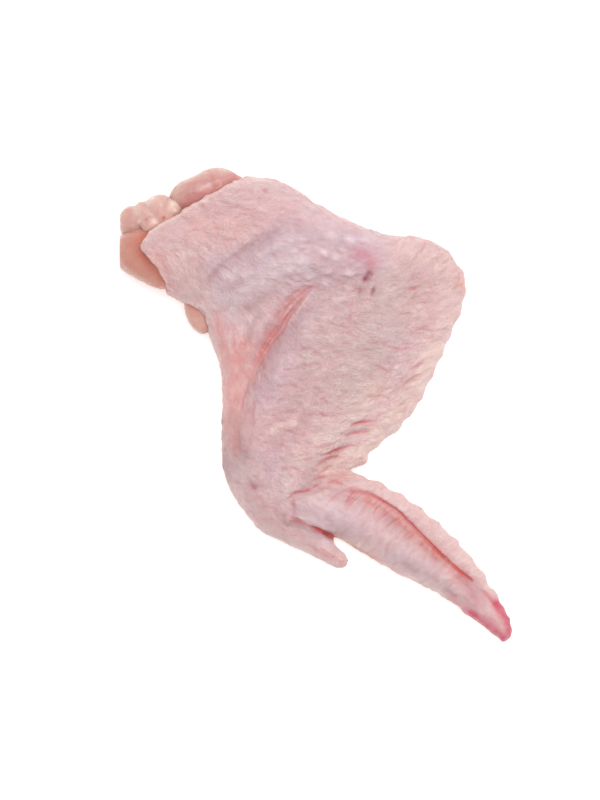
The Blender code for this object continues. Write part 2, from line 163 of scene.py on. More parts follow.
# Paler skin with painted highlights: the sheen over the elbow, and painted light that lifts skin
# lying in shade
PALE_AND_HIGHLIT = [
    ([(-30, 34), (-25, 33.6), (-18, 37.4), (-11, 41), (-5, 42.6)], 4.2, 0.75),
    ([(12, 53), (20, 50)], 3.0, 0.15),
    ([(3, -42), (8.6, -45)], 2.0, 0.95),
    ([(-8, -34), (-1, -35.6), (4, -38)], 1.6, 0.5),
    ([(-2, -29), (3, -31), (7, -33)], 2.6, 0.15),
    ([(-28, 31), (-23, 27)], 4.0, 0.6),
    ([(-27, 41), (-21, 40)], 2.4, 0.7),
    ([(-13, 25.6), (-9, 29)], 1.6, 0.3),
    ([(24, 22), (26, 14)], 5.0, 0.3),
    ([(-8, 38), (-14, 31), (-19, 27)], 3.0, 0.2),
    ([(-27, 45), (-22, 41)], 2.6, 0.4),
    ([(5, -11), (13, -5)], 4.0, 0.3),
]
# Painted shade: darker skin where it turns away from the light, beside the folds and the groove,
# and on the upper rims
PAINTED_SHADE = [
    ([(-31, -5), (-30.4, -13), (-28, -20)], 3.4, 1.0),
    ([(-25, -5), (-22.6, -14)], 3.0, 0.8),
    ([(-10, 55), (0, 51.6), (9, 49)], 2.6, 0.4),
    ([(-16, 68), (-5, 65), (2, 61)], 2.6, 0.35),
    ([(12, 55), (20, 53)], 2.6, 0.4),
    ([(22, -36), (30, -43), (38, -50)], 2.4, 0.3),
    ([(-26, 43.6), (-18, 48.6), (-12, 52.8)], 2.2, 0.5),
    ([(47, -55), (50, -60)], 3.4, 0.4),
]
# Bruises and quill pits; the first three rows are painted shade along the fold across the elbow
PURPLE = [
    ([(-32.2, 38.6), (-31, 40.8), (-28.6, 43)], 1.7, 0.15),
    ([(-27, 35.4), (-23, 37.4)], 1.4, 0.14),
    ([(-17, 50.4), (-13, 53.6)], 1.6, 0.14),
    ([(12.6, 47.8), (15, 46.4), (17, 43)], 2.8, 0.06),
    ([(16.2, 40.3), (15, 38.7)], 1.0, 1.0),
    ([(17.5, 36), (16.9, 34.6)], 0.6, 0.75),
    ([(13.4, 35.7), (13, 34.8)], 0.55, 0.4),
    ([(-20.4, -24.2), (-19, -25.4)], 1.0, 0.55),
    ([(-7.2, -30.4), (-6.4, -35.4)], 0.9, 0.35),
    ([(27, -49), (30.6, -51.4)], 1.0, 0.3),
    ([(34, -52), (37.4, -54)], 0.8, 0.3),
    ([(40, -57), (43, -58.8)], 0.7, 0.35),
    ([(-1, -38), (2, -39.4)], 0.8, 0.35),
]
# Raw spots at the tip and a faint one over the elbow
MAGENTA = [
    ([(41.6, -60), (45, -62.4)], 1.3, 0.4),
    ([(46, -63.2), (54, -69), (58, -72)], 1.5, 0.8),
    ([(13.4, 46.6), (16.4, 45.4), (17, 43.4)], 2.6, 0.38),
    ([(46, -55), (50, -61)], 3.0, 0.12),
    ([(56, -61.6), (59.2, -66.2), (60.4, -71)], 1.6, 0.95),
    ([(60, -69), (58, -74)], 1.8, 0.55),
    ([(8.6, 55), (13, 53.4)], 1.6, 0.1),
]
# The deepest red, in the slits of the skin: red flesh, darkened with painted shade in the slits
SLITS = [
    ([(0, -38.2), (3, -39.8), (5.4, -41.6)], 0.7, 1.0),
    ([(-8, -35.6), (-4, -36.7), (0, -38.2)], 0.35, 0.6),
    ([(17.4, -27.8), (24.2, -32), (28.3, -35.8), (33.6, -41.1)], 0.3, 0.6),
    ([(33.6, -41.1), (37.3, -44.8), (42.6, -49.7), (48.4, -54.4)], 0.34, 0.95),
    ([(-6.4, -27), (-3.2, -26.4), (0.4, -24.7)], 0.25, 0.45),
    ([(3, -24.3), (6, -23.7), (9, -24.8)], 0.25, 0.4),
    ([(11, -5.9), (15, -5.1)], 0.25, 0.4),
    ([(4, -14.9), (8, -13.5)], 0.25, 0.4),
]
# The mask that each of these gives on the mesh
ZONES = {
    "lilac": LILAC,
    "greyed": GREYED,
    "rosy": ROSY,
    "salmon": SALMON,
    "creamy_and_lit": CREAMY_AND_LIT,
    "pale_and_highlit": PALE_AND_HIGHLIT,
    "painted_shade": PAINTED_SHADE,
    "slit": SLITS,
    "bruise": PURPLE,
    "magenta": MAGENTA,
}

# Creases cut into the skin: a line, half width, depth, how red
CREASES = [
    ([(-0.5, 37.8), (-5.1, 32.2), (-9.2, 27.5), (-11.3, 24.4),
      (-14.9, 19.3), (-18, 14.1), (-22, 6)], 0.45, 0.18, 0.75),
    ([(0.4, 38.4), (-3.6, 33.2), (-7.7, 28.2), (-10.3, 23.4),
      (-13.9, 19.1), (-17, 13.8), (-20.6, 7)], 0.45, 0.14, 0.5),
    ([(-3.4, 37), (-7.7, 32.7), (-9.9, 28.8), (-12.6, 24),
      (-15.4, 20), (-17.9, 15.6), (-21.6, 9)], 0.45, 0.14, 0.5),
    ([(-9, 31.4), (-12.4, 27.4), (-14.6, 24.6)], 0.4, 0.2, 0.35),
    ([(0.6, 38.6), (-3, 35.8), (-7, 32.6), (-11, 28.4)], 0.5, 0.12, 0.55),
    ([(-2, 37.6), (-7, 34.6), (-12, 30)], 0.5, 0.12, 0.4),
    ([(-20.4, 9), (-22.4, 3), (-23.6, -4)], 0.5, 0.25, 0.45),
    ([(-29, 50.8), (-26, 51), (-23, 50.6)], 0.4, 0.1, 0.55),
    ([(-33.8, 32), (-32.8, 38.6), (-29.6, 42.6),
      (-23.9, 46.4), (-17.5, 50.4), (-11, 54.8)], 0.9, 0.24, 0.15),
    ([(-33, 29.6), (-30.4, 28.6), (-28, 29.6)], 0.6, 0.25, 0.3),
    ([(9.4, -7.4), (12.6, -5.6), (15.4, -5), (19.4, -4.6)], 0.5, 0.28, 0.98),
    ([(7.6, -10.4), (10.6, -8.8), (13.4, -8.2), (17.6, -8)], 0.5, 0.24, 0.86),
    ([(0.4, -16.2), (4.4, -14.6), (8.4, -13.2), (12.8, -12)], 0.5, 0.32, 0.98),
    ([(-1.6, -13), (3, -12.6), (7, -11)], 0.45, 0.14, 0.52),
    ([(-1.4, -19.6), (1.4, -18), (4.8, -16.2), (9.6, -15.6)], 0.5, 0.24, 0.86),
    ([(0.2, -21.6), (3, -19.6), (5.6, -18)], 0.5, 0.24, 0.75),
    ([(-2.4, -24), (0.6, -22.6), (4.4, -22.2)], 0.5, 0.21, 0.57),
    ([(-6, -3.4), (0, -2.6), (5, -3.4)], 0.5, 0.15, 0.25),
    ([(14, 2.4), (19, 2.8), (24, 2)], 0.5, 0.18, 0.35),
    ([(-11, -29.6), (-8.4, -28.4), (-6.2, -27),
      (-3.2, -26.4), (0.4, -24.6), (2.8, -24.2)], 0.5, 0.32, 0.75),
    ([(-8.4, -31.4), (-7, -29.4), (-6.6, -27.4)], 0.45, 0.17, 0.46),
    ([(2.6, -24.1), (6, -23.6), (9.1, -24.8)], 0.5, 0.28, 0.69),
    ([(-11, -33.2), (-6, -35.4), (-2, -37.4)], 0.45, 0.25, 0.5),
    ([(-4, -36.6), (-1, -37.9), (1.8, -39.1), (4.3, -40.4), (8, -42.4)], 0.5, 0.9, 0.8),
    ([(0, -43.4), (4, -46), (8.6, -49.4)], 0.35, 0.15, 0.5),
    ([(-4, -42.6), (2, -46), (6, -48.6)], 0.35, 0.12, 0.4),
    ([(6, -41.6), (11, -43.7), (17, -46.6), (24, -50)], 0.35, 0.12, 0.5),
    ([(-17, -31), (-12, -33), (-8, -35.6)], 0.6, 0.2, 0.2),
    ([(17.2, 12.6), (19.6, 11.8), (22.8, 10.4)], 0.4, 0.15, 0.5),
    ([(8.9, 26.9), (11, 26.6)], 0.5, 0.15, 0.4),
    ([(49.8, -56.7), (53.5, -59.4), (57.6, -65.4)], 0.65, 0.35, 0.9),
    ([(-24.9, 27.4), (-25.6, 20), (-24, 12)], 0.6, 0.15, 0.3),
    ([(-18.6, 6), (-19.6, -2), (-20.6, -10)], 0.7, 0.15, 0.25),
    ([(-13, -20.6), (-8, -19.4), (-3, -20.8)], 0.6, 0.2, 0.3),
    ([(29.1, 23.4), (32, 23.6), (34.7, 24.7)], 0.55, 0.25, 0.35),
    ([(19.7, 18.7), (25, 17.6), (30.6, 17.9)], 0.5, 0.25, 0.35),
    ([(27.2, 35.6), (30.4, 36.4), (33.6, 37.9)], 0.5, 0.2, 0.35),
    ([(28, 10), (31.4, 12.4), (35, 14.4)], 0.5, 0.25, 0.3),
    ([(25.6, 5.6), (29, 7.4), (33, 8.6)], 0.5, 0.25, 0.3),
]
# The groove down the back of the hand, and the striations that run from it
HAND_GROOVE = [
    (9.1, -25.9), (13, -26.4), (17.4, -27.7), (24.2, -31.9), (28.3, -35.7), (33.6, -41),
    (37.3, -44.7), (42.6, -49.6), (49, -54.9),
]
# Its reach on the flap's side and on the hand's side, its depth, how red, height of the flap's lip
GROOVE_SHAPE = (0.3, 0.8, 0.6, 0.9, 0.2)
# The share of each end that fades, the lip's place and width, and where the hand's side begins
GROOVE_END = 0.05
LIP_AWAY = 1.1
LIP_WIDTH = 0.7
HAND_SIDE = (-0.4, 0.2)
STRIATION_PITCH = 0.85
STRIATION_LENGTHS = (13.0, 5.0)
STRIATION_WAYS = (214, 198)
STRIATION_START = 2.0
# How far each one turns at its middle, in radians
STRIATION_BEND = 0.35
STRIATION_WIDTHS = (0.25, 0.45)
STRIATION_DEPTH = 0.18
STRIATION_REDNESS = 0.55
# How much of each end of a crease fades, and how far and how strongly its flush reaches
CREASE_FADE = 0.45
HALO_WIDTH = 2.4
STRIATION_HALO = 0.55
CREASE_HALO = 0.55
# Raised soft lines: a line, half width, height, how pale, partly a painted highlight along the
# line
WELTS = [
    ([(-33.8, 34), (-33.2, 40), (-28.6, 45),
      (-20.6, 50.6), (-12, 56.4), (-4, 61.6)], 1.3, 0.5, 0.0),
    ([(-0.6, 36), (-5, 30.4), (-10, 24)], 0.6, 0.3, 0.4),
    ([(-4.2, 35), (-9.4, 28.6), (-13.4, 23)], 0.45, 0.25, 0.35),
    ([(46, 34.8), (43.8, 30.3), (41.1, 25.8), (40, 23.2)], 0.5, 0.35, 0.6),
    ([(35.9, 20.9), (36.6, 21.9), (38.5, 21.5), (39.2, 20.5)], 0.5, 0.4, 0.6),
    ([(28.3, 10.8), (31, 13.6), (33.6, 15.3),
      (36.2, 15.7), (37.7, 16.8), (39.2, 19.4)], 0.5, 0.45, 0.65),
    ([(26.1, 6.6), (28.7, 8.7), (31.7, 9.8), (34, 9.6)], 0.5, 0.4, 0.6),
    ([(-12.4, -7.4), (-10, -6), (-7.4, -5.3)], 0.7, 0.3, 0.6),
    ([(-53, 51.6), (-50, 54), (-44, 57.2), (-39, 60.4), (-33, 64), (-27, 67.6)], 0.5, 0.15, 0.6),
    ([(-8.4, -30), (-5.2, -29.6), (-1, -28.2), (4.6, -26)], 0.8, 0.35, 0.45),
    ([(-52.5, 47.6), (-50, 44.4), (-47.2, 40.4), (-45.8, 36)], 0.7, 0.15, 0.35),
]
# Hollows of the solid that the real skin bridges: a line, half width, share
TAUT = [
    ([(4, 40), (-5, 32.5), (-11, 24.4), (-18, 14), (-23, 2)], 5.0, 1.0),
    ([(22, 40), (10, 40), (-2, 37), (-12, 30)], 5.0, 1.0),
    ([(-26, 30), (-23, 20), (-22, 8)], 4.0, 1.0),
]
TAUT_ROUNDS = 110
# Places of the solid that the real outline passes a little further in or out: x, y, reach, move
NUDGES = [
    (7.4, -42.4, 3.6, -2.4, 1.3),
    (14, -17, 2.6, 0.7, -0.9),
    (-5.4, 64, 1.8, 0.3, 0.6),
    (-1.4, 62, 1.6, -0.2, -0.5),
]
# Folds of the solid that are narrower on the skin: a line, half width, height to raise
FILLS = [
    ([(-10.5, -33.8), (-6.2, -35.8), (-0.2, -38.5), (3.6, -40.4)], 1.4, 3.2),
    ([(-13, -32.6), (-7.6, -35.2)], 1.8, 1.2),
    ([(-4, -34.9), (2, -37.6), (6, -39.8)], 1.4, 0.8),
    ([(6, -26), (17.4, -28.4), (24.2, -32.4), (33.6, -41.6), (42.6, -50.2), (49, -55)], 1.1, 0.9),
]
# Bumps over the elbow with painted highlights: x, y, way, half length, half width, height, how
# strong the highlight is
BUMPS = [
    (4.2, 52.1, -8, 1.9, 1.1, 0.44, 0.94),
    (9.9, 50.5, -10, 1.7, 1.1, 0.39, 0.88),
    (-6.9, 47.2, 35, 1.5, 1.2, 0.34, 0.54),
    (2.1, 46.9, -20, 1.6, 1.2, 0.47, 1),
    (6, 45.6, -30, 1.5, 1.2, 0.44, 1),
    (8.1, 47.7, -10, 1.3, 0.9, 0.31, 0.68),
    (-13.9, 42.8, 25, 1.8, 1.2, 0.34, 0.61),
    (-0.7, 43.3, -5, 1.7, 1.1, 0.36, 0.68),
    (-9, 40.7, 25, 1.9, 1.3, 0.39, 0.68),
    (3.4, 41.2, 5, 1.5, 1, 0.34, 0.61),
    (10.1, 40.5, -5, 1.6, 1, 0.44, 1),
    (-2.5, 39.4, 20, 1.6, 1, 0.34, 0.68),
    (2.9, 38.1, 5, 1.6, 0.9, 0.31, 0.68),
    (9.9, 35.8, -5, 1.4, 0.8, 0.29, 0.54),
    (-20.1, 40.2, 15, 1.8, 1.1, 0.31, 0.54),
    (-4.2, 50.8, -5, 1.6, 1, 0.31, 0.54),
    (-11.8, 49.4, 15, 1.6, 1, 0.29, 0.47),
    (-17.6, 45.8, 25, 1.7, 1, 0.31, 0.54),
    (-5.4, 43.8, 15, 1.6, 1, 0.31, 0.54),
    (14.2, 50.6, -10, 1.4, 0.9, 0.26, 0.47),
]
# How much of that height and painted highlight is shown
BUMP_HEIGHT = 1.2
BUMP_HIGHLIGHT = 0.8
# The pits left by plucked quills: a line along each, half width, depth
PITS = [
    ([(17, 41.2), (15.8, 39.4), (14.6, 37.6)], 0.8, 0.7),
    ([(17.7, 36), (16.6, 34)], 0.6, 0.45),
    ([(13.6, 35.8), (12.8, 34.4)], 0.55, 0.3),
]
# Small scarlet flecks: x, y, radius, strength
FLECKS = [
    (-15.8, 66.2, 0.6, 0.8),
    (-10.6, -12, 0.5, 0.6),
    (-15.2, -13.5, 0.5, 0.5),
    (-28, 50.9, 0.5, 0.5),
    (33.2, -47.4, 0.5, 0.4),
    (-21.4, 4.2, 0.7, 0.5),
    (-21, -1.4, 0.7, 0.5),
    (-21.2, -6.6, 0.7, 0.5),
]

# The grain of the skin at places on the wing, and in between a mix of the nearest: x, y, way,
# height of the follicle's bump, depth of the furrow beside it, length of both, how dark its mark
# is, partly painted shade
SKIN_GRAIN = [
    (-48, 50, -20, 0.08, 0.10, 2.6, 0.5),
    (-42, 42, -62, 0.10, 0.15, 3.0, 0.7),
    (-33, 36, -60, 0.10, 0.16, 3.0, 0.7),
    (-36, 56, -4, 0.10, 0.14, 3.0, 0.6),
    (-26, 48, -50, 0.12, 0.14, 3.0, 0.65),
    (-20, 62, 6, 0.10, 0.12, 3.2, 0.6),
    (-10, 60, -8, 0.12, 0.10, 2.8, 0.5),
    (-12, 50, -20, 0.24, 0.08, 2.2, 0.4),
    (-16, 42, -40, 0.20, 0.10, 2.4, 0.5),
    (0, 52, -16, 0.30, 0.06, 2.2, 0.35),
    (6, 45, -18, 0.38, 0.08, 2.2, 0.4),
    (14, 51, -10, 0.20, 0.06, 2.4, 0.4),
    (20, 42, 10, 0.07, 0.07, 2.6, 0.4),
    (29, 49, 52, 0.08, 0.12, 3.6, 0.7),
    (38, 44, 42, 0.08, 0.12, 3.6, 0.6),
    (33, 37, 18, 0.08, 0.13, 4.0, 0.65),
    (40, 30, 16, 0.07, 0.10, 4.0, 0.45),
    (32, 22, 8, 0.07, 0.12, 4.4, 0.55),
    (36, 12, 34, 0.07, 0.09, 3.6, 0.4),
    (26, 6, 30, 0.07, 0.12, 3.8, 0.55),
    (18, -6, 18, 0.06, 0.10, 3.4, 0.6),
    (22, 28, -4, 0.07, 0.09, 3.2, 0.45),
    (6, 32, -10, 0.16, 0.18, 3.0, 0.75),
    (0, 20, -8, 0.14, 0.20, 3.2, 0.85),
    (12, 16, -6, 0.14, 0.18, 3.4, 0.7),
    (-6, 6, -10, 0.14, 0.20, 3.2, 0.85),
    (6, 2, -8, 0.14, 0.18, 3.4, 0.75),
    (-10, -8, -14, 0.14, 0.18, 3.0, 0.85),
    (4, -10, 4, 0.12, 0.16, 3.2, 0.7),
    (-12, 22, -50, 0.10, 0.08, 2.4, 0.35),
    (-24, 26, -66, 0.06, 0.10, 2.8, 0.5),
    (-25, 10, -84, 0.04, 0.05, 2.6, 0.3),
    (-25, -6, 80, 0.05, 0.06, 2.2, 0.35),
    (-20, -20, -30, 0.12, 0.12, 2.4, 0.6),
    (-14, -30, -34, 0.12, 0.12, 2.4, 0.6),
    (-4, -40, -30, 0.12, 0.14, 2.6, 0.6),
    (2, -32, -24, 0.12, 0.06, 2.6, 0.25),
    (16, -38, 60, 0.08, 0.06, 3.0, 0.25),
    (32, -50, 50, 0.08, 0.06, 3.0, 0.3),
    (48, -63, -36, 0.05, 0.05, 3.0, 0.35),
    (24, -31, 40, 0.06, 0.06, 2.6, 0.25),
    (42, -46, 40, 0.06, 0.06, 2.6, 0.25),
]
GRAIN_PITCH = (4.4, 3.4)
GRAIN_JITTER = 0.38
GRAIN_FURROW_WIDTH = 0.4
GRAIN_BUMP_WIDTH = 0.95
GRAIN_BUMP_AWAY = 1.1
GRAIN_BOW = 0.07
# Fine wrinkles lie closer together, along the same ways
WRINKLE_PITCH = (1.7, 1.15)
WRINKLE_WIDTH = 0.38
WRINKLE_DEPTH = 0.13
WRINKLE_REACH = 3.2
# The finest lines are drawn by the materials, in this many ways that are mixed in between
LINE_WAYS = 6

# Unevenness of the skin, of its masks and of the rims: size of the waves, height, seed
SKIN_WAVES = [(9.0, 0.22, 20), (4.2, 0.14, 21), (1.9, 0.07, 22)]
MASK_WAVES = [(3.5, 0.264, 41), (1.6, 0.264, 42)]
RIM_BUMPS = [(1.7, 0.4, 31)]
# A rim is where the low skin is this steep, and it is bumpy and pale up to this far in, the
# paleness partly painted light
RIM_LEVEL = 0.3
RIM_HIGHEST = 9
RIM_REACH = 1.9
# The share of the waves that the underside of the skin gets
UNDER_SHARE = 0.35
# How pale the rims are, partly painted light, the painted highlights on the tops of the wrinkles,
# how dark the follicles' marks are, partly painted shade in their furrows, and the painted shade
# in the troughs
RIM_CREAM_AND_LIGHT = 0.3
WRINKLE_TOP_LIGHT = 0.1
WRINKLE_TOP_HIGHLIGHT = 0.16
MARK_DARKNESS = 0.8
TROUGH_SHADE = 0.3
# How much of that darkness the rims lose, and how red the flecks are
RIM_CLEARED = 0.6
FLECK_REDNESS = 0.8
# The finest lines are strongest from this depth of furrow on, and never weaker than this
LINED_DEPTH = 0.12
LEAST_LINED = 0.3

# Patches of the moist film, cells and height of the finest grain, length, width and height of
# the finest lines, and how deep light goes in
SKIN_SIZES = (5.0, 0.9, 0.08, 2.1, 0.72, 0.62, 1.6)
MEAT_SIZES = (3.0, 0.6, 0.06, 6.0, 0.5, 0.25, 2.4)
TISSUE_SIZES = (2.4, 0.5, 0.06, 1.6, 0.5, 0.25, 2.4)
# How dark the finest lines are: partly painted shade in their grooves
LINE_DARKNESS = 0.24

# Pale fat on the joint tissue: x, y, radius, strength
JOINT_FAT = [
    (-50.2, 56.7, 0.9, 1.0),
    (-55.5, 59.8, 1.4, 0.5),
    (-44.4, 61.2, 2.2, 0.6),
    (-50.4, 63.4, 1.8, 0.45),
]
# Red spots on it
JOINT_BLOOD = [(-47, 57.7, 0.55, 1.0), (-52.4, 57.2, 0.5, 0.5)]
# Where the upper muscle parts into two lobes, with painted shade in the parting: a line, half
# width, depth
LOBES = ([(-34.2, 73.4), (-32.6, 70.6), (-30.2, 67)], 0.9, 0.55)
# The muscles' fibres: their way in radians, length, pitch and height
FIBRE_WAY = 0.3
FIBRE_LENGTH = 7
FIBRE_PITCH = 0.9
FIBRE_HEIGHT = 0.07
# Unevenness of the meat, lumps and grain of the joint tissue: size of the waves, height, seed
MEAT_WAVES = [(5.0, 0.2, 63), (2.0, 0.1, 64)]
LUMPS = [(2.6, 1.0, 71), (1.2, 0.5, 72)]
TISSUE_GRAIN = [(0.6, 0.06, 73)]
LUMP_HEIGHT = 0.25
# The meat swells up to the first place in x and in y, and no longer from the second on
SWELL_ENDS_X = (-24, -16)
SWELL_ENDS_Y = (68, 72)
# Where the upper muscle, the lower muscle and the rosier right side begin and are in full
UPPER_FROM = (58, 63)
LOWER_FROM = (35, 29)
RIGHT_FROM = (-44, -37)
# Where a pale sheet covers the muscles: a line, half width, strength
FASCIA = [
    ([(-44, 61), (-43, 65), (-39, 70), (-34, 73), (-29, 73.4)], 3.0, 0.95),
    ([(-36.5, 66.2), (-31.8, 68.6), (-27, 70.4)], 0.7, 0.7),
    ([(-60.5, 50), (-59, 53), (-55, 53.5)], 1.4, 0.5),
    ([(-60.5, 45), (-57, 39.5), (-52, 36.5)], 1.2, 0.35),
    ([(-41.5, 31), (-39.5, 27), (-37, 24)], 3.0, 0.95),
]
# Where the cut edge of the skin casts a painted shadow on the meat
SKIN_EDGE = [
    (-34.2, 24), (-38, 30), (-46.6, 34.5), (-47.4, 39.5), (-50.2, 43.5), (-54.3, 48.2),
    (-53, 51.6), (-50, 54.8), (-44, 58.2), (-39, 61.4), (-33, 65), (-28, 67.6), (-25, 69.6),
]


def linear(red, green, blue):
    """A colour as Blender keeps it, from the numbers 0 to 255 of a colour on screen."""
    shares = (value / 255 for value in (red, green, blue))
    return tuple(s / 12.92 if s <= 0.04045 else ((s + 0.055) / 1.055) ** 2.4 for s in shares)


def colour_setting(name, description, red, green, blue):
    """A colour that a user can change."""
    return bpy.props.FloatVectorProperty(
        name=name,
        description=description,
        default=linear(red, green, blue),
        subtype="COLOR",
        size=3,
        min=0,
        max=1,
    )


def share_setting(name, description, default):
    """An amount from 0 to 1 that a user can change."""
    return bpy.props.FloatProperty(
        name=name, description=description, default=default, min=0, max=1, subtype="FACTOR"
    )


def number_setting(name, description, default):
    """A plain number that a user can change."""
    return bpy.props.FloatProperty(name=name, description=description, default=default, min=0)


def length_setting(name, description, millimetres):
    """A length that a user can change."""
    return bpy.props.FloatProperty(
        name=name,
        description=description,
        default=millimetres * MM,
        min=0,
        precision=5,
        subtype="DISTANCE",
        unit="LENGTH",
    )


class WingSkinSettings(bpy.types.PropertyGroup):
    grid: length_setting("Grid", "Spacing of the points on the hidden sides of the skin", 0.91)
    relief: number_setting("Relief", "Strength of the folds, furrows and bumps", 1.0)
    pink: colour_setting("Pink", "Colour of most of the skin", 207, 171, 171)
    # Lilac also paints shadow along the fold across the elbow
    lilac: colour_setting("Lilac", "Cool patches over bone and tendon", 190, 168, 179)
    grey: colour_setting("Grey", "Patches where thin skin lies on dark meat", 190, 168, 162)
    rose: colour_setting("Rose", "Pinker patches", 200, 145, 148)
    # Salmon also paints shade on the hand's side of the groove
    salmon: colour_setting("Salmon", "Warm patches along the web and the groove", 208, 134, 124)
    # Cream also paints light on skin lying in shade
    cream: colour_setting("Cream", "Fatty rims and raised lines", 229, 200, 189)
    # Pearl also paints the highlights over the elbow and on its bumps
    pearl: colour_setting("Pearl", "Pale bumps over the joints", 226, 206, 210)
    # The colour of the painted shade
    shade: colour_setting("Shade", "Darker skin at the front edge", 150, 120, 122)
    # Its darkness is partly painted shade in the slits
    slit: colour_setting("Slit", "Deepest red of the skin's slits", 196, 72, 60)
    crease: colour_setting("Crease", "Bottoms of the folds", 200, 106, 106)
    # Furrow colour is partly the follicles' own marks and partly painted shade in furrows and
    # wrinkle troughs
    furrow: colour_setting("Furrow", "Furrows beside the follicles", 188, 124, 130)
    # The bruise colour also paints shade along the fold across the elbow
    bruise: colour_setting("Bruise", "Bruises and quill pits", 152, 68, 94)
    magenta: colour_setting("Magenta", "Bare spots at the tip", 196, 62, 92)
    inside: colour_setting("Inside", "Inner side of the skin", 226, 190, 172)
    roughness: share_setting("Roughness", "How dull the skin is where it is driest", 0.52)
    wetness: share_setting("Wetness", "Strength of the moist film", 0.2)


class WingMeatSettings(bpy.types.PropertyGroup):
    grid: length_setting("Grid", "Spacing of the points", 0.55)
    relief: number_setting("Relief", "Strength of the fibres and lumps", 1.0)
    swell: length_setting("Swell", "How far the meat fills the gap under the skin", 0.75)
    flesh: colour_setting("Flesh", "Colour of the muscle", 194, 143, 128)
    # Deep flesh is also the colour of the painted shadow of the skin's edge on the meat
    deep_and_shade: colour_setting("Deep flesh", "Muscle in the shade of the skin", 194, 106, 86)
    fascia: colour_setting("Fascia", "Pale sheet that covers the muscle", 210, 178, 168)
    # Rose also paints shade on the upper muscle near the skin's cut edge
    rose: colour_setting("Rose", "Pinker muscle at the top", 182, 130, 137)
    roughness: share_setting("Roughness", "How dull the meat is where it is driest", 0.42)
    wetness: share_setting("Wetness", "Strength of the moist film", 0.4)


class JointTissueSettings(bpy.types.PropertyGroup):
    grid: length_setting("Grid", "Spacing of the points", 0.34)
    relief: number_setting("Relief", "Strength of the lumps", 1.0)
    swell: length_setting("Swell", "How far the tissue fills the gap to the meat", 0.5)
    tissue: colour_setting("Tissue", "Colour of the tissue", 209, 168, 158)
    # The hollows colour is painted shade between the lumps
    hollow: colour_setting("Hollows", "Colour between the lumps", 192, 130, 122)
    # The fat colour also paints light on the tops of the lumps
    fat: colour_setting("Fat", "Pale flecks of fat and gristle", 232, 208, 196)
    blood: colour_setting("Blood", "Small red spots", 172, 62, 58)
    roughness: share_setting("Roughness", "How dull the tissue is where it is driest", 0.4)
    wetness: share_setting("Wetness", "Strength of the moist film", 0.45)


class StageSettings(bpy.types.PropertyGroup):
    floor_size: length_setting("Floor", "Side of the floor", 3000)
    floor_colour: colour_setting("Floor colour", "Colour of the floor", 250, 250, 250)
    view_height: length_setting("View height", "Length of the table that the camera sees", 248)
    lens: bpy.props.FloatProperty(
        name="Lens", description="Focal length in millimetres", default=200, min=1
    )
    middle: bpy.props.FloatVectorProperty(
        name="Middle",
        description="Where the camera looks",
        default=(-5.115 * MM, 1.705 * MM, 8 * MM),
        subtype="TRANSLATION",
        unit="LENGTH",
    )
    lamp_size: length_setting("Lamp size", "Side of the soft light overhead", 1100)
    lamp_height: length_setting("Lamp height", "Height of the soft light", 1500)
    lamp_power: bpy.props.FloatProperty(
        name="Lamp power", description="Power of the soft light", default=15.5, min=0, unit="POWER"
    )
    sky: number_setting("Sky", "Brightness of the white room", 0.71)
    glow: number_setting("Glow", "How much the white table shines of itself", 0.35)


def read_points(mesh):
    """The points of a mesh in millimetres, and their normals."""
    points = np.empty(len(mesh.vertices) * 3, np.float32)
    normals = np.empty(len(mesh.vertices) * 3, np.float32)
    mesh.vertices.foreach_get("co", points)
    mesh.vertices.foreach_get("normal", normals)
    return points.reshape(-1, 3).astype(float) / MM, normals.reshape(-1, 3).astype(float)


def write_points(mesh, points):
    """Moves a mesh's points to places in millimetres, kept inside the box of the solids."""
    low, high = (np.array(corner) / MM for corner in CAD_BOX)
    low = low + (BOX_MARGIN, BOX_MARGIN, TABLE_GAP)
    held = np.clip(points, low, high - BOX_MARGIN)
    mesh.vertices.foreach_set("co", (held * MM).astype(np.float32).ravel())
    mesh.update()


def keep_mask(mesh, name, values):
    """Keeps a value for each point on the mesh, for the materials."""
    mask = mesh.attributes.new(name, "FLOAT", "POINT")
    mask.data.foreach_set("value", np.asarray(values, np.float32))


def keep_lines(mesh, ways, strength):
    """Keeps how strong the finest lines are at each point, and their way, as twice its angle."""
    keep_mask(mesh, "grain_cosine", np.cos(2 * ways))
    keep_mask(mesh, "grain_sine", np.sin(2 * ways))
    keep_mask(mesh, "lined", strength)


def eased(value, start, end):
    """0 up to start, 1 from end on, and a soft step between."""
    share = np.clip((value - start) / (end - start), 0, 1)
    return share * share * (3 - 2 * share)


def smooth_line(rows, step=LINE_STEP):
    """Points read off a smooth curve through the given places."""
    rows = np.array(rows, float)
    padded = np.vstack([2 * rows[0] - rows[1], rows, 2 * rows[-1] - rows[-2]])
    made = []
    for before, start, end, after in zip(padded, padded[1:], padded[2:], padded[3:]):
        count = max(1, round(np.hypot(*(end - start)) / step))
        for t in np.arange(count) / count:
            bend = (2 * before - 5 * start + 4 * end - after) * t**2
            twist = (3 * start - before - 3 * end + after) * t**3
            made.append((2 * start + (end - before) * t + bend + twist) / 2)
    return np.array(made + [rows[-1]])


def nearest_on_line(points, line):
    """For each point: its distance from a line, and its share of the way along it."""
    best = np.full(len(points), np.inf)
    run = np.zeros(len(points))
    done = 0.0
    for start, end in zip(line, line[1:]):
        way = end - start
        length = max(np.hypot(*way), 1e-6)
        offset = points[:, :2] - start
        share = np.clip(offset @ way / length**2, 0, 1)
        gap = offset - share[:, None] * way
        distance = np.hypot(gap[:, 0], gap[:, 1])
        closer = distance < best
        best[closer] = distance[closer]
        run[closer] = done + share[closer] * length
        done += length
    return best, run / done


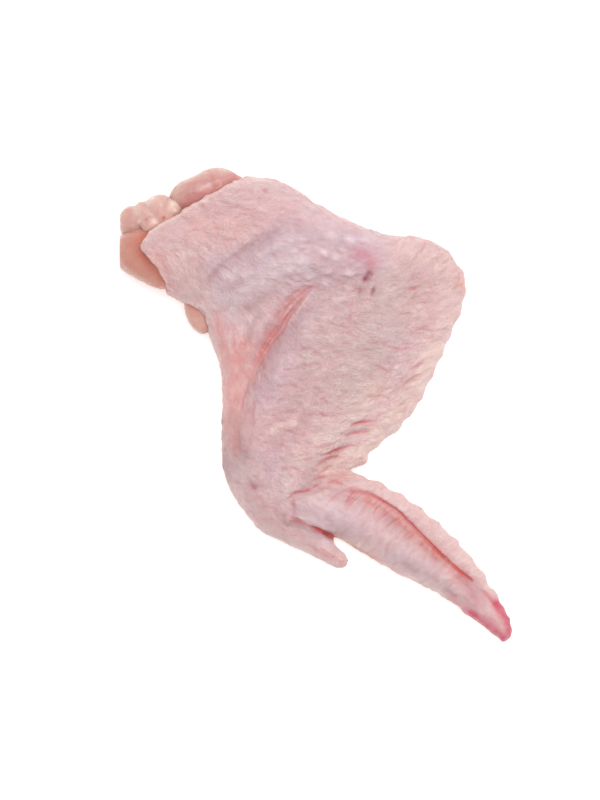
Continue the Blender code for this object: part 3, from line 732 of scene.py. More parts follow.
def stroke(points, line, half_width, fade=0.25):
    """1 along the middle of a line, falling away to each side and over that share of each end."""
    line = smooth_line(line)
    reach = 2.6 * half_width
    near = np.all(
        (points[:, :2] > line.min(0) - reach) & (points[:, :2] < line.max(0) + reach), axis=1
    )
    mask = np.zeros(len(points))
    if near.any():
        distance, share = nearest_on_line(points[near], line)
        ends = 1 - (1 - eased(np.minimum(share, 1 - share), 0, fade)) ** 2 if fade else 1
        mask[near] = ends * np.exp(-((distance / (half_width * (0.4 + 0.6 * ends))) ** 2))
    return mask


def left_of(points, line):
    """The distance of each point to the left of a line, and its share of the way along it."""
    line = smooth_line(line)
    distance, share = nearest_on_line(points, line)
    nearest = np.clip((share * (len(line) - 1)).round().astype(int), 1, len(line) - 1)
    start, way = line[nearest - 1], line[nearest] - line[nearest - 1]
    offset = points[:, :2] - start
    side = np.sign(way[:, 0] * offset[:, 1] - way[:, 1] * offset[:, 0])
    return distance * side, share


def strokes(points, rows):
    """The strongest of several strokes at each point, each a line, half width and strength."""
    mask = np.zeros(len(points))
    for line, half_width, strength in rows:
        mask = np.maximum(mask, strength * stroke(points, line, half_width, 0))
    return mask


def spots(points, rows):
    """The strongest of several round spots at each point: x, y, radius, strength."""
    mask = np.zeros(len(points))
    for x, y, radius, strength in rows:
        away = np.hypot(points[:, 0] - x, points[:, 1] - y) / radius
        mask = np.maximum(mask, strength * np.exp(-(away**2)))
    return mask


def noise(points, size, seed):
    """Smooth random values from -1 to 1 that change over about that size."""
    cells = points / size
    low = np.floor(cells).astype(int)
    share = cells - low
    share = share * share * (3 - 2 * share)
    low -= low.min(0)
    grid = np.random.default_rng(seed).uniform(-1, 1, low.max(0) + 2)
    total = np.zeros(len(points))
    for corner in np.ndindex(*(2,) * points.shape[1]):
        weight = np.prod(np.where(corner, share, 1 - share), axis=1)
        total += weight * grid[tuple((low + corner).T)]
    return total


def waves(points, rows):
    """The sum of several layers of noise: the size, height and seed of each."""
    return sum(height * noise(points, size, seed) for size, height, seed in rows)


def copied_node(name, new_name):
    """A new object with a copy of the mesh of one of the solids."""
    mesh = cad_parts[name].data.copy()
    mesh.materials.clear()
    made = bpy.data.objects.new(new_name, mesh)
    bpy.context.scene.collection.objects.link(made)
    return made


def applied(source):
    """The same object with its modifiers applied."""
    graph = bpy.context.evaluated_depsgraph_get()
    mesh = bpy.data.meshes.new_from_object(source.evaluated_get(graph))
    source.modifiers.clear()
    old, source.data = source.data, mesh
    bpy.data.meshes.remove(old)
    return source


def softened(piece, rounds):
    """The piece with the steps between its faces smoothed for that many rounds."""
    smooth = piece.modifiers.new("soften", "SMOOTH")
    smooth.factor = 0.5
    smooth.iterations = rounds
    return applied(piece)


def evened(piece, grid):
    """The piece with even faces of about the grid's size."""
    remesh = piece.modifiers.new("even_faces", "REMESH")
    remesh.mode = "VOXEL"
    remesh.voxel_size = grid
    return softened(piece, 3)


def open_to_above(mesh):
    """Whether each point is on the outside as seen from above: nothing of the mesh is over it."""
    tree = BVHTree.FromPolygons(
        [tuple(v.co) for v in mesh.vertices], [tuple(p.vertices) for p in mesh.polygons]
    )
    up = Vector((0, 0, 1))
    found = np.zeros(len(mesh.vertices), bool)
    for vertex in mesh.vertices:
        if vertex.normal.z > -0.35:
            start = vertex.co + vertex.normal * RAY_START * MM
            found[vertex.index] = tree.ray_cast(start, up)[0] is None
    return found


def refined(piece, chosen):
    """The piece with those faces split whose points are all chosen."""
    shape = bmesh.new()
    shape.from_mesh(piece.data)
    edges = [edge for edge in shape.edges if all(chosen[v.index] for v in edge.verts)]
    bmesh.ops.subdivide_edges(shape, edges=edges, cuts=1, use_grid_fill=True)
    shape.to_mesh(piece.data)
    shape.free()
    return softened(piece, 2)


def neighbour_mean(mesh):
    """A function that gives, for values at the points, the mean over each point's neighbours."""
    edges = np.empty(len(mesh.edges) * 2, int)
    mesh.edges.foreach_get("vertices", edges)
    a, b = edges.reshape(-1, 2).T
    size = len(mesh.vertices)
    count = np.bincount(np.concatenate([a, b]), minlength=size)

    def mean(values):
        return (np.bincount(a, values[b], size) + np.bincount(b, values[a], size)) / count

    return mean


def pulled_taut(mesh, points, weight):
    """The points with the hollows evened out that the real skin bridges."""
    share = strokes(points, TAUT) * weight
    chosen = share > 0.01
    mean = neighbour_mean(mesh)
    points = points.copy()
    for _ in range(TAUT_ROUNDS):
        for axis in points.T:
            axis[chosen] += 0.5 * share[chosen] * (mean(axis) - axis)[chosen]
    return points


def outer_weight(mesh):
    """1 on the side that shows from above, 0 underneath and inside, and a soft step between."""
    facing = read_points(mesh)[1][:, 2]
    weight = open_to_above(mesh) * eased(facing, -0.3, 0.15)
    mean = neighbour_mean(mesh)
    for _ in range(4):
        weight = (weight + mean(weight)) / 2
    return weight


def grain_at(places):
    """The way, bump, furrow, length and darkness of the grain at places on the skin; the darkness
    is partly painted shade.
    """
    rows = np.array(SKIN_GRAIN, float)
    apart = np.linalg.norm(places[:, None] - rows[None, :, :2], axis=2)
    near = 1 / (apart + 1.5) ** 3
    near /= near.sum(axis=1)[:, None]
    ways = np.radians(rows[:, 2]) * 2
    way = np.arctan2(near @ np.sin(ways), near @ np.cos(ways)) / 2
    return way, *(near @ rows[:, 3:]).T


def flat_tree(points):
    """A search tree of points as seen from above."""
    tree = KDTree(len(points))
    for index, (x, y, _) in enumerate(points):
        tree.insert((x, y, 0), index)
    tree.balance()
    return tree


def uneven_rows(points, pitch, random):
    """Places in uneven rows over the points, as seen from above."""
    low, high = points[:, :2].min(0), points[:, :2].max(0)
    across, down = np.meshgrid(
        np.arange(low[0], high[0], pitch[0]), np.arange(low[1], high[1], pitch[1])
    )
    across[1::2] += pitch[0] / 2
    places = np.column_stack([across.ravel(), down.ravel()])
    return places + random.uniform(-GRAIN_JITTER, GRAIN_JITTER, places.shape) * pitch


def turned(points, place, way):
    """Offsets of points from a place, along a way and to its left."""
    offset = points[:, :2] - place
    return offset @ (math.cos(way), math.sin(way)), offset @ (-math.sin(way), math.cos(way))


def wrinkles(points, weight, tree, seed):
    """Fine wrinkles that follow the grain, from about -1 in their troughs to 1."""
    random = np.random.default_rng(seed)
    places = uneven_rows(points, WRINKLE_PITCH, random)
    ways, _, _, lengths, _ = grain_at(places)
    ways = ways + random.normal(0, 0.3, len(places))
    signs = random.normal(0, 0.75, len(places))
    total = np.zeros(len(points))
    for place, way, length, sign in zip(places, ways, lengths, signs):
        found = [index for _, index, _ in tree.find_range((*place, 0), WRINKLE_REACH)]
        if found:
            along, beside = turned(points[found], place, way)
            beside = beside + GRAIN_BOW * along**2
            ridge = np.exp(-((along / (0.45 * length)) ** 2) - (beside / WRINKLE_WIDTH) ** 2)
            total[found] += sign * ridge
    return np.clip(total, -1.6, 1.6) * weight


def grain(points, weight, tree, seed):
    """Bumps, furrows and dark marks of the feather follicles, which lie in uneven rows; the marks
    are partly painted shade in the furrows.
    """
    random = np.random.default_rng(seed)
    places = uneven_rows(points, GRAIN_PITCH, random)
    ways, bumps, furrows, lengths, darks = grain_at(places)
    ways = ways + random.normal(0, 0.2, len(places))
    strengths = random.uniform(0.3, 1.25, (len(places), 2))
    bump, furrow, dark = np.zeros((3, len(points)))
    for k, (place, way) in enumerate(zip(places, ways)):
        found = [index for _, index, _ in tree.find_range((*place, 0), lengths[k] + 1.5)]
        if not found:
            continue
        along, beside = turned(points[found], place, way)
        beside = beside + GRAIN_BOW * along**2
        half = lengths[k] / 2
        mark = np.exp(-((along / half) ** 2) - (beside / GRAIN_FURROW_WIDTH) ** 2)
        swell = np.exp(
            -((along / half) ** 2) - ((beside - GRAIN_BUMP_AWAY) / GRAIN_BUMP_WIDTH) ** 2
        )
        shown = weight[found]
        bump[found] = np.maximum(bump[found], bumps[k] * strengths[k, 0] * swell * shown)
        furrow[found] = np.maximum(furrow[found], furrows[k] * strengths[k, 1] * mark * shown)
        dark[found] = np.maximum(dark[found], darks[k] * strengths[k, 1] * mark * shown)
    return bump, furrow, np.clip(dark, 0, 1)


def striations():
    """Short lines that run from the hand's groove down over its back."""
    starts = smooth_line(HAND_GROOVE, STRIATION_PITCH)[1:]
    random = np.random.default_rng(5)
    made = []
    for start, share in zip(starts, np.linspace(0, 1, len(starts))):
        length = np.interp(share, (0, 1), STRIATION_LENGTHS) * random.uniform(0.45, 1.1)
        way = math.radians(np.interp(share, (0, 1), STRIATION_WAYS) + random.normal(0, 7))
        ahead = np.array([math.cos(way), math.sin(way)])
        bent = way + STRIATION_BEND
        start = start - STRIATION_START * ahead
        middle = start + length * 0.5 * ahead
        end = middle + length * 0.5 * np.array([math.cos(bent), math.sin(bent)])
        strength = random.uniform(0.1, 1.2)
        half_width = random.uniform(*STRIATION_WIDTHS)
        depth, redness = strength * STRIATION_DEPTH, strength * STRIATION_REDNESS
        made.append(([start, middle, end], half_width, depth, redness))
    return made


def rim_mask(points, normals, weight):
    """1 along the thin rims of the skin, falling away inwards."""
    at_rim = (np.abs(normals[:, 2]) < RIM_LEVEL) & (weight > 0.2) & (points[:, 2] < RIM_HIGHEST)
    tree = flat_tree(points[at_rim])
    mask = np.zeros(len(points))
    for index in np.flatnonzero(weight > 0.1):
        x, y, _ = points[index]
        mask[index] = math.exp(-((tree.find((x, y, 0))[2] / RIM_REACH) ** 2))
    return mask * weight


def nudged(points):
    """The points with the outline's small moves."""
    for x, y, reach, *move in NUDGES:
        share = np.exp(-((np.hypot(points[:, 0] - x, points[:, 1] - y) / reach) ** 2))
        points[:, :2] += share[:, None] * move
    return points


def groove(points, weight):
    """The groove down the hand: its relief, how red it is, and a mask of the hand beside it."""
    flap_reach, hand_reach, depth, red, lip = GROOVE_SHAPE
    across, share = left_of(points, HAND_GROOVE)
    ends = eased(np.minimum(share, 1 - share), 0, GROOVE_END) * weight
    mask = ends * np.exp(-((across / np.where(across > 0, flap_reach, hand_reach)) ** 2))
    raised = lip * ends * np.exp(-(((across - LIP_AWAY) / LIP_WIDTH) ** 2))
    return raised - depth * mask, red * mask, weight * (1 - eased(across, *HAND_SIDE))


def creases(points, weight, hand_side):
    """The creases and striations: their relief, how red they are, and the flush beside them."""
    move, crease, flush = np.zeros((3, len(points)))
    for rows, shown, halo in (
        (CREASES, weight, CREASE_HALO),
        (striations(), hand_side, STRIATION_HALO),
    ):
        for line, half_width, depth, red in rows:
            mask = stroke(points, line, half_width, CREASE_FADE) * shown
            wide = stroke(points, line, half_width * HALO_WIDTH, CREASE_FADE) * shown
            move -= depth * mask
            crease = np.maximum(crease, red * mask)
            flush = np.maximum(flush, halo * red * wide)
    return move, crease, flush


def swellings(points, weight):
    """The welts, bumps and pits: their relief, how pale the welts are, partly painted highlight,
    and the bumps' painted highlights.
    """
    move, pale, pearl = np.zeros((3, len(points)))
    for line, half_width, height, paleness in WELTS:
        mask = stroke(points, line, half_width) * weight
        move += height * mask
        pale = np.maximum(pale, paleness * mask)
    for x, y, way, half_length, half_width, height, paleness in BUMPS:
        along, beside = turned(points, (x, y), math.radians(way))
        mask = np.exp(-(((along / half_length) ** 2 + (beside / half_width) ** 2) ** 1.5)) * weight
        move += BUMP_HEIGHT * height * mask
        pearl = np.maximum(pearl, BUMP_HIGHLIGHT * paleness * mask)
    for line, half_width, depth in PITS:
        move -= depth * weight * stroke(points, line, half_width)
    return move, pale, pearl


def fill_inputs(tree, node, values):
    """Fills a node's inputs, given by name or as i0 and on, with values or sockets to link."""
    for name, value in values.items():
        into = node.inputs[int(name[1:]) if name[1:].isdigit() else name.replace("_", " ")]
        if isinstance(value, bpy.types.NodeSocket):
            tree.links.new(value, into)
        else:
            into.default_value = (*value, 1) if into.type == "RGBA" and len(value) == 3 else value
    return node


def add_node(tree, kind, settings=None, **values):
    """Adds a shader node with its settings and inputs."""
    node = tree.nodes.new("ShaderNode" + kind)
    for name, value in (settings or {}).items():
        setattr(node, name, value)
    return fill_inputs(tree, node, values)


def mixed(tree, first, second, factor):
    """A mix of two colours."""
    node = add_node(tree, "Mix", {"data_type": "RGBA"}, i0=factor, i6=first, i7=second)
    return node.outputs[2]


def counted(tree, operation, first, second=0.0, third=0.0, clamp=False):
    """The result of a sum on values."""
    settings = {"operation": operation, "use_clamp": clamp}
    return add_node(tree, "Math", settings, i0=first, i1=second, i2=third).outputs[0]


def cloud(tree, here, scale, detail, roughness):
    """Soft noise over the places, from 0 to 1."""
    node = add_node(
        tree, "TexNoise", Vector=here, Scale=scale, Detail=detail, Roughness=roughness
    )
    return node.outputs["Fac"]


def pushed_about(tree, here, scale, detail, amount):
    """Places moved unevenly by that amount, so that a pattern laid on them isn't straight."""
    bent = add_node(tree, "TexNoise", Vector=here, Scale=scale, Detail=detail).outputs["Color"]
    shift = add_node(tree, "VectorMath", {"operation": "SCALE"}, i0=bent, Scale=amount)
    moved = add_node(tree, "VectorMath", {"operation": "ADD"}, i0=here, i1=shift.outputs[0])
    return moved.outputs[0]


def masked(tree, name):
    """A mask that is kept on the mesh."""
    return add_node(tree, "Attribute", {"attribute_name": name}).outputs["Fac"]


def place(tree):
    """The place on the object, in metres."""
    return add_node(tree, "TexCoord").outputs["Object"]


def new_group(name, inputs, outputs):
    """An empty shader group with its sockets, each given as a name, kind and default."""
    group = bpy.data.node_groups.new(name, "ShaderNodeTree")
    for direction, rows in (("INPUT", inputs), ("OUTPUT", outputs)):
        for socket_name, kind, default in rows:
            made = group.interface.new_socket(
                socket_name, in_out=direction, socket_type="NodeSocket" + kind
            )
            if default is not None:
                made.default_value = default
    return group, group.nodes.new("NodeGroupInput"), group.nodes.new("NodeGroupOutput")


def mottle_group():
    """Uneven colour: patches, smaller blotches and fine specks of a tint over a colour."""
    group, given, result = new_group(
        "mottling",
        [
            ("Colour", "Color", None),
            ("Tint", "Color", None),
            ("Place", "Vector", None),
            ("Patch size", "Float", 0.008),
            ("Amount", "Float", 0.5),
        ],
        [("Colour", "Color", None)],
    )
    colour, tint, here, patch_size, amount = list(given.outputs)[:5]
    inverse = counted(group, "DIVIDE", 1.0, patch_size)
    for finer, share in ((1.0, 1.0), (3.1, 0.7), (9.0, 0.45)):
        patches = cloud(group, here, counted(group, "MULTIPLY", inverse, finer), 3.0, 0.55)
        spread = add_node(
            group, "MapRange", Value=patches, From_Min=0.38, From_Max=0.72, To_Max=share
        )
        factor = counted(group, "MULTIPLY", spread.outputs[0], amount, clamp=True)
        colour = mixed(group, colour, tint, factor)
    group.links.new(colour, result.inputs["Colour"])
    return group


def film_group():
    """A moist film: where it is thicker the surface is smoother and its coat is stronger."""
    group, given, result = new_group(
        "moist_film",
        [
            ("Place", "Vector", None),
            ("Patch size", "Float", 0.004),
            ("Dry roughness", "Float", 0.5),
            ("Wetness", "Float", 0.3),
        ],
        [("Roughness", "Float", None), ("Coat", "Float", None)],
    )
    here, patch_size, dry_roughness, wetness = list(given.outputs)[:4]
    patches = cloud(group, here, counted(group, "DIVIDE", 1.0, patch_size), 4.0, 0.6)
    wet = add_node(group, "MapRange", Value=patches, From_Min=0.4, From_Max=0.65)
    coat = counted(group, "MULTIPLY", wet.outputs[0], wetness)
    rough = counted(group, "SUBTRACT", dry_roughness, counted(group, "MULTIPLY", coat, 0.5))
    group.links.new(rough, result.inputs["Roughness"])
    group.links.new(coat, result.inputs["Coat"])
    return group


def pore_group():
    """The finest relief: tiny cells and grains, as a height from 0 to 1."""
    group, given, result = new_group(
        "fine_grain",
        [("Place", "Vector", None), ("Cell size", "Float", 0.0008)],
        [("Height", "Float", None)],
    )
    here, cell_size = list(given.outputs)[:2]
    scale = counted(group, "DIVIDE", 1.0, cell_size)
    moved = pushed_about(group, here, counted(group, "MULTIPLY", scale, 0.4), 2.0, 0.0009)
    feature = {"feature": "SMOOTH_F1"}
    cells = add_node(group, "TexVoronoi", feature, Vector=moved, Scale=scale, Smoothness=0.6)
    sunk = counted(group, "MULTIPLY", cells.outputs["Distance"], -0.6)
    height = counted(group, "ADD", sunk, cloud(group, here, scale, 3.0, 0.6))
    group.links.new(height, result.inputs["Height"])
    return group


def line_group():
    """Fine wrinkles along a way that changes from place to place, given as twice its angle."""
    group, given, result = new_group(
        "fine_wrinkles",
        [
            ("Place", "Vector", None),
            ("Cosine", "Float", 1.0),
            ("Sine", "Float", 0.0),
            ("Length", "Float", 0.003),
            ("Width", "Float", 0.0007),
        ],
        [("Height", "Float", None), ("Lines", "Float", None)],
    )
    here, cosine, sine, length, width = list(given.outputs)[:5]
    way = counted(group, "ARCTAN2", sine, cosine)
    moved = pushed_about(group, here, 170.0, 1.0, 0.005)
    sizes = add_node(group, "CombineXYZ", i0=length, i1=width, i2=width).outputs[0]
    texture = {"vector_type": "TEXTURE"}
    steepness = -LINE_WAYS / (2 * math.pi)
    height = 0.0
    for angle in np.arange(LINE_WAYS) * math.pi / LINE_WAYS:
        apart = counted(group, "PINGPONG", counted(group, "SUBTRACT", way, 2 * angle), math.pi)
        share = counted(group, "MULTIPLY_ADD", apart, steepness, 1.0, clamp=True)
        laid = add_node(
            group, "Mapping", texture, Vector=moved, Rotation=(0, 0, angle), Scale=sizes
        )
        streaks = cloud(group, laid.outputs[0], 1.0, 2.0, 0.55)
        height = counted(group, "MULTIPLY_ADD", streaks, share, height)
    apart = counted(group, "ABSOLUTE", counted(group, "SUBTRACT", height, 0.5))
    lines = add_node(group, "MapRange", Value=apart, From_Max=0.035, To_Min=1.0, To_Max=0.0)
    cut = counted(group, "MULTIPLY_ADD", lines.outputs[0], -0.1, height)
    group.links.new(cut, result.inputs["Height"])
    group.links.new(lines.outputs[0], result.inputs["Lines"])
    return group


def shared_group(name):
    """One of the shared groups, built the first time that it is asked for."""
    makers = {
        "mottling": mottle_group,
        "moist_film": film_group,
        "fine_grain": pore_group,
        "fine_wrinkles": line_group,
    }
    return bpy.data.node_groups.get(name) or makers[name]()


def place_group(tree, name, **values):
    """A shared group placed in a material."""
    node = tree.nodes.new("ShaderNodeGroup")
    node.node_tree = shared_group(name)
    return fill_inputs(tree, node, values)


def mottled(tree, here, colour, tint, patch_size, amount):
    """A colour with patches of a tint, which are about that many millimetres wide."""
    group = place_group(
        tree,
        "mottling",
        Colour=colour,
        Tint=tint,
        Place=here,
        Patch_size=patch_size * MM,
        Amount=amount,
    )
    return group.outputs[0]


def layered(tree, colour, rows):
    """A colour with tints laid over it: the mask that says where, the tint, how much of it."""
    for mask, tint, amount in rows:
        factor = counted(tree, "MULTIPLY", masked(tree, mask), amount)
        colour = mixed(tree, colour, tint, factor)
    return colour


def wet_flesh(name, colour_maker, line_colour, sizes, settings):
    """A moist, softly lit material, with its colour from the maker and sizes in millimetres."""
    material = bpy.data.materials.new(name)
    material.use_nodes = True
    tree = material.node_tree
    shader = tree.nodes["Principled BSDF"]
    here = place(tree)
    film_size, cell_size, cell_height, length, width, line_height, depth = (
        size * MM for size in sizes
    )
    film = place_group(
        tree,
        "moist_film",
        Place=here,
        Patch_size=film_size,
        Dry_roughness=settings.roughness,
        Wetness=settings.wetness,
    )
    pores = place_group(tree, "fine_grain", Place=here, Cell_size=cell_size)
    lines = place_group(
        tree,
        "fine_wrinkles",
        Place=here,
        Cosine=masked(tree, "grain_cosine"),
        Sine=masked(tree, "grain_sine"),
        Length=length,
        Width=width,
    )
    lined = masked(tree, "lined")
    line_relief = counted(tree, "MULTIPLY", lined, line_height)
    raised = counted(tree, "MULTIPLY", line_relief, lines.outputs["Height"])
    height = counted(tree, "MULTIPLY_ADD", pores.outputs["Height"], cell_height, raised)
    bump = add_node(tree, "Bump", Height=height, Strength=1.0, Distance=1.0)
    darkness = counted(tree, "MULTIPLY", lined, LINE_DARKNESS)
    dark = counted(tree, "MULTIPLY", darkness, lines.outputs["Lines"])
    colour = mixed(tree, colour_maker(tree, here, settings), line_colour, dark)
    tree.links.new(colour, shader.inputs["Base Color"])
    tree.links.new(film.outputs["Roughness"], shader.inputs["Roughness"])
    tree.links.new(film.outputs["Coat"], shader.inputs["Coat Weight"])
    tree.links.new(bump.outputs[0], shader.inputs["Normal"])
    shader.inputs["Coat Roughness"].default_value = 0.22
    shader.inputs["Specular IOR Level"].default_value = 0.45
    shader.inputs["Subsurface Weight"].default_value = 0.3
    shader.inputs["Subsurface Radius"].default_value = (1.0, 0.42, 0.3)
    shader.inputs["Subsurface Scale"].default_value = depth
    return material


def skin_colour(tree, here, settings):
    """The colour of the skin from the masks kept on its mesh."""
    colour = mottled(tree, here, settings.pink, settings.rose, 7, 0.16)
    soft_rows = (
        ("lilac", settings.lilac, 0.85),
        ("greyed", settings.grey, 0.8),
        ("rosy", settings.rose, 0.7),
        ("salmon", settings.salmon, 0.8),
        # Fatty rims and painted light
        ("creamy_and_lit", settings.cream, 0.85),
        # Paler skin and painted highlights
        ("pale_and_highlit", settings.pearl, 0.9),
        # Painted shade
        ("painted_shade", settings.shade, 0.56),
    )
    colour = layered(tree, colour, soft_rows)
    colour = mottled(tree, here, colour, settings.pearl, 3.2, 0.16)
    crisp_rows = (
        # Follicle marks, partly painted shade, and painted shade in the wrinkles' troughs
        ("furrow", settings.furrow, 0.6),
        ("crease", settings.crease, 0.9),
        ("slit", settings.slit, 0.9),
        ("bruise", settings.bruise, 0.95),
        ("magenta", settings.magenta, 0.9),
        ("inside", settings.inside, 1.0),
    )
    return layered(tree, colour, crisp_rows)


def meat_colour(tree, here, settings):
    """The colour of the muscle from the masks kept on its mesh."""
    colour = mottled(tree, here, settings.flesh, settings.deep_and_shade, 6, 0.2)
    rows = (
        ("rosy", settings.rose, 0.9),
        ("fascia", settings.fascia, 0.9),
        # Painted shadow of the skin's edge, and painted shade in the lobes' parting
        ("painted_shade", settings.deep_and_shade, 0.85),
        ("fibres", settings.deep_and_shade, 0.3),
    )
    return layered(tree, colour, rows)


def joint_colour(tree, here, settings):
    """The colour of the joint's tissue from the masks kept on its mesh."""
    colour = mottled(tree, here, settings.tissue, settings.hollow, 4, 0.3)
    rows = (
        # Painted shade between the lumps
        ("hollow", settings.hollow, 0.8),
        # Fat, and painted light on the tops of the lumps
        ("fat", settings.fat, 0.95),
        ("blood", settings.blood, 0.9),
    )
    return layered(tree, colour, rows)


def keep_skin_masks(mesh, points, weight, rim, fine, found):
    """Keeps the skin's masks on its mesh: the zones, with what the relief found added."""
    masks = {name: strokes(points, rows) for name, rows in ZONES.items()}
    light = np.maximum(fine, 0)
    masks["rosy"] = np.maximum(masks["rosy"], found["flush"])
    creamy_and_lit = np.maximum(masks["creamy_and_lit"], found["pale"])
    # Fatty rims, partly painted light, and painted highlights on the wrinkles' tops
    masks["creamy_and_lit"] = creamy_and_lit + RIM_CREAM_AND_LIGHT * rim + WRINKLE_TOP_LIGHT * light
    masks["pale_and_highlit"] = np.maximum(masks["pale_and_highlit"], found["pearl"]) + WRINKLE_TOP_HIGHLIGHT * light
    # Follicle marks, partly painted shade in their furrows, and painted shade in the wrinkles'
    # troughs
    deep_and_shade = MARK_DARKNESS * found["dark"] + TROUGH_SHADE * np.maximum(-fine, 0)
    masks["furrow"] = np.clip(deep_and_shade, 0, 1) * (1 - RIM_CLEARED * rim)
    masks["crease"] = np.maximum(found["crease"], FLECK_REDNESS * spots(points, FLECKS))
    blur = waves(points, MASK_WAVES)
    for name, mask in masks.items():
        uneven = np.clip(np.clip(mask, 0, 1) * (1 + blur), 0, 1)
        keep_mask(mesh, name, uneven * weight)
    keep_mask(mesh, "inside", 1 - weight)
    ways, _, furrows, _, _ = grain_at(points[:, :2])
    keep_lines(mesh, ways, np.clip(furrows / LINED_DEPTH, LEAST_LINED, 1))


def make_skin(settings):
    """The skin, with its folds, follicles and rims, over the whole wing."""
    skin = evened(copied_node("wing_skin", "wing_skin_detailed"), settings.grid)
    faces_up = read_points(skin.data)[1][:, 2] > SPLIT_FACING
    refined(skin, open_to_above(skin.data) & faces_up)
    mesh = skin.data
    weight = outer_weight(mesh)
    write_points(mesh, pulled_taut(mesh, read_points(mesh)[0], weight))
    write_points(mesh, nudged(read_points(mesh)[0]))
    points, normals = read_points(mesh)

    rim = rim_mask(points, normals, weight)
    tree = flat_tree(points)
    bump, furrow, dark = grain(points, weight, tree, 3)
    fine = wrinkles(points, weight, tree, 4)
    cut, cut_red, hand_side = groove(points, weight)
    folded, crease, flush = creases(points, weight, hand_side)
    swollen, pale, pearl = swellings(points, weight)
    move = bump - furrow + WRINKLE_DEPTH * fine + cut + folded + swollen
    move += waves(points, SKIN_WAVES) * (UNDER_SHARE + (1 - UNDER_SHARE) * weight)
    move += waves(points, RIM_BUMPS) * rim
    found = {
        "flush": flush,
        "pale": pale,
        "pearl": pearl,
        "dark": dark,
        "crease": np.maximum(crease, cut_red),
    }
    keep_skin_masks(mesh, points, weight, rim, fine, found)

    for line, half_width, height in FILLS:
        points[:, 2] += height * stroke(points, line, half_width, 0.2) * weight
    write_points(mesh, points + settings.relief * move[:, None] * normals)
    mesh.shade_smooth()
    material = wet_flesh("raw_skin", skin_colour, settings.furrow, SKIN_SIZES, settings)
    mesh.materials.append(material)
    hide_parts("wing_skin")
    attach(skin, "root")


def make_meat(settings):
    """The muscle that shows where the shoulder was cut."""
    meat = evened(copied_node("wing_meat", "wing_meat_detailed"), settings.grid)
    mesh = meat.data
    points, normals = read_points(mesh)
    along, across = turned(points, (0, 0), FIBRE_WAY)
    strands = np.column_stack([along, across, points[:, 2]])
    strands /= FIBRE_LENGTH, FIBRE_PITCH, FIBRE_PITCH
    fibres = noise(strands, 1.0, 61) * 0.6 + noise(strands * 2.1, 1.0, 62) * 0.4
    move = FIBRE_HEIGHT * fibres + waves(points, MEAT_WAVES)
    line, half_width, depth = LOBES
    parted = stroke(points, line, half_width)
    move -= depth * parted
    x, y = points[:, 0], points[:, 1]
    swelling = (1 - eased(x, *SWELL_ENDS_X)) * (1 - eased(y, *SWELL_ENDS_Y))
    swell = settings.swell / MM * swelling

    upper, lower, right = eased(y, *UPPER_FROM), eased(y, *LOWER_FROM), eased(x, *RIGHT_FROM)
    # Painted shadow of the skin's cut edge on the meat
    edge = strokes(points, [(SKIN_EDGE, 2.2, 0.9)])
    shade = edge * (1 - 0.5 * upper - 0.8 * lower) * (0.9 + 0.4 * noise(points, 4.0, 66))
    fascia = strokes(points, FASCIA) + 0.2 * noise(points, 3.0, 65)
    for name, mask in (
        # Rosier near the skin's edge: partly painted shade
        ("rosy", upper * (0.75 + 0.25 * edge) * (0.4 + 0.6 * right)),
        ("fascia", fascia),
        ("painted_shade", shade + 0.35 * parted),
        ("fibres", 0.5 + 0.9 * fibres),
    ):
        keep_mask(mesh, name, np.clip(mask, 0, 1))
    keep_lines(mesh, np.full(len(points), FIBRE_WAY), np.full(len(points), 0.6))
    write_points(mesh, points + (settings.relief * move + swell)[:, None] * normals)
    mesh.shade_smooth()
    material = wet_flesh("raw_meat", meat_colour, settings.deep_and_shade, MEAT_SIZES, settings)
    mesh.materials.append(material)
    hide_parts("wing_meat")
    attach(meat, "root")


def make_joint(settings):
    """The soft lumps of the shoulder joint."""
    tissue = evened(copied_node("joint_tissue", "joint_tissue_detailed"), settings.grid)
    mesh = tissue.data
    points, normals = read_points(mesh)
    lumps = waves(points, LUMPS)
    move = LUMP_HEIGHT * lumps + waves(points, TISSUE_GRAIN)
    # Spots of fat, and painted light on the tops of the lumps
    fat = spots(points, JOINT_FAT) + 0.5 * eased(lumps, 0.45, 1.0)
    # Painted shade in the hollows between the lumps
    keep_mask(mesh, "hollow", np.clip(0.1 - 0.8 * lumps, 0, 1) * 0.6)
    keep_mask(mesh, "fat", np.clip(fat, 0, 1))
    keep_mask(mesh, "blood", spots(points, JOINT_BLOOD))
    keep_lines(mesh, 2 * lumps, np.full(len(points), 0.6))
    out = settings.relief * move + settings.swell / MM
    write_points(mesh, points + out[:, None] * normals)
    mesh.shade_smooth()
    material = wet_flesh("raw_tissue", joint_colour, settings.hollow, TISSUE_SIZES, settings)
    mesh.materials.append(material)
    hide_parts("joint_tissue")
    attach(tissue, "root")


def make_floor(settings):
    """The white table."""
    shape = bmesh.new()
    bmesh.ops.create_grid(shape, x_segments=8, y_segments=8, size=settings.floor_size / 2)
    mesh = bpy.data.meshes.new("white_table")
    shape.to_mesh(mesh)
    shape.free()
    floor = bpy.data.objects.new("white_table", mesh)
    bpy.context.scene.collection.objects.link(floor)
    material = bpy.data.materials.new("white_table")
    material.use_nodes = True
    tree = material.node_tree
    shader = tree.nodes["Principled BSDF"]
    colour = mottled(tree, place(tree), settings.floor_colour, FLOOR_TINT, 300, 0.1)
    tree.links.new(colour, shader.inputs["Base Color"])
    shader.inputs["Roughness"].default_value = 0.9
    shader.inputs["Specular IOR Level"].default_value = 0.1
    shader.inputs["Emission Color"].default_value = (1, 1, 1, 1)
    shader.inputs["Emission Strength"].default_value = settings.glow
    mesh.materials.append(material)


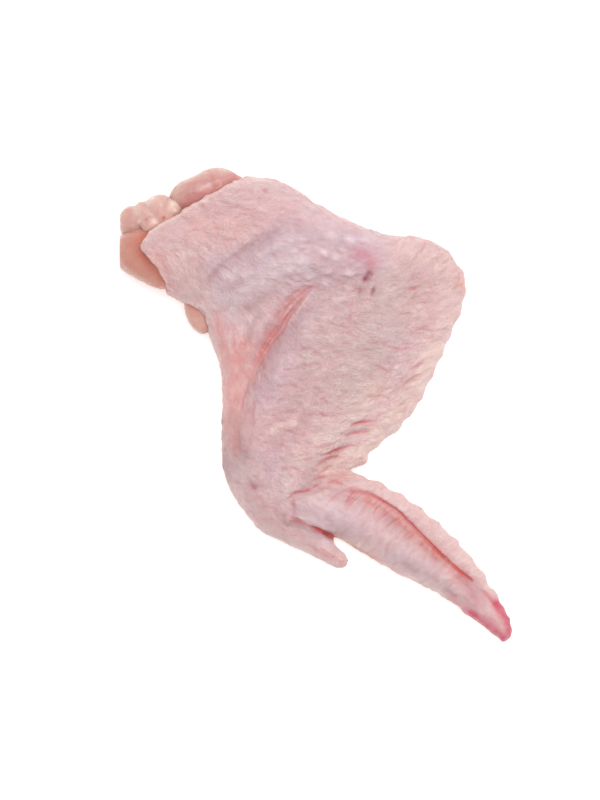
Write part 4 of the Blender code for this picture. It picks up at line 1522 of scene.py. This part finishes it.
def make_lights(settings):
    """A wide soft light overhead, in a white room."""
    lamp = bpy.data.lights.new("soft_light", "AREA")
    lamp.shape = "SQUARE"
    lamp.size = settings.lamp_size
    lamp.energy = settings.lamp_power
    light = bpy.data.objects.new("soft_light", lamp)
    light.location = (*LAMP_PLACE, settings.lamp_height)
    light.rotation_euler = (Vector((0, 0, 0)) - light.location).to_track_quat("-Z", "Y").to_euler()
    bpy.context.scene.collection.objects.link(light)
    world = bpy.data.worlds.new("white_room")
    world.use_nodes = True
    background = world.node_tree.nodes["Background"]
    background.inputs["Color"].default_value = (1, 1, 1, 1)
    background.inputs["Strength"].default_value = settings.sky
    scene = bpy.context.scene
    scene.world = world
    scene.view_settings.view_transform = "Standard"


def make_camera(settings):
    """A camera straight above, with a long lens."""
    data = bpy.data.cameras.new("camera")
    data.lens = settings.lens
    data.sensor_width = 36
    camera = bpy.data.objects.new("camera", data)
    height = settings.view_height * settings.lens / data.sensor_width
    camera.location = Vector(settings.middle) + Vector((0, 0, height))
    bpy.context.scene.collection.objects.link(camera)
    bpy.context.scene.camera = camera


class WING_OT_skin(bpy.types.Operator):
    """Makes the skin over the whole wing"""

    bl_idname = "chicken_wing.make_skin"
    bl_label = "Make skin"

    def execute(self, context):
        make_skin(context.scene.wing_skin)
        return {"FINISHED"}


class WING_OT_meat(bpy.types.Operator):
    """Makes the cut muscle at the shoulder"""

    bl_idname = "chicken_wing.make_meat"
    bl_label = "Make meat"

    def execute(self, context):
        make_meat(context.scene.wing_meat)
        return {"FINISHED"}


class WING_OT_joint(bpy.types.Operator):
    """Makes the tissue of the shoulder joint"""

    bl_idname = "chicken_wing.make_joint"
    bl_label = "Make joint tissue"

    def execute(self, context):
        make_joint(context.scene.joint_tissue)
        return {"FINISHED"}


class WING_OT_stage(bpy.types.Operator):
    """Makes the table, the light and the camera"""

    bl_idname = "chicken_wing.make_stage"
    bl_label = "Make stage"

    def execute(self, context):
        settings = context.scene.wing_stage
        make_floor(settings)
        make_lights(settings)
        make_camera(settings)
        return {"FINISHED"}


class WING_PT_panel(bpy.types.Panel):
    """Lists the pieces of the wing and their settings"""

    bl_idname = "WING_PT_panel"
    bl_label = "Raw chicken wing"
    bl_space_type = "VIEW_3D"
    bl_region_type = "UI"
    bl_category = "Chicken Wing"

    def draw(self, context):
        for (name, group), operator in zip(GROUPS.items(), OPERATORS):
            box = self.layout.box()
            for setting in group.__annotations__:
                box.prop(getattr(context.scene, name), setting)
            box.operator(operator.bl_idname)


GROUPS = {
    "wing_skin": WingSkinSettings,
    "wing_meat": WingMeatSettings,
    "joint_tissue": JointTissueSettings,
    "wing_stage": StageSettings,
}
OPERATORS = (WING_OT_skin, WING_OT_meat, WING_OT_joint, WING_OT_stage)


def register():
    for item in (*GROUPS.values(), *OPERATORS, WING_PT_panel):
        bpy.utils.register_class(item)
    for name, group in GROUPS.items():
        setattr(bpy.types.Scene, name, bpy.props.PointerProperty(type=group))


def unregister():
    for name in GROUPS:
        delattr(bpy.types.Scene, name)
    for item in (WING_PT_panel, *reversed(OPERATORS), *reversed(GROUPS.values())):
        bpy.utils.unregister_class(item)


def main():
    register()
    bpy.ops.chicken_wing.make_skin()
    bpy.ops.chicken_wing.make_meat()
    bpy.ops.chicken_wing.make_joint()
    bpy.ops.chicken_wing.make_stage()


if __name__ == "__main__":
    main()
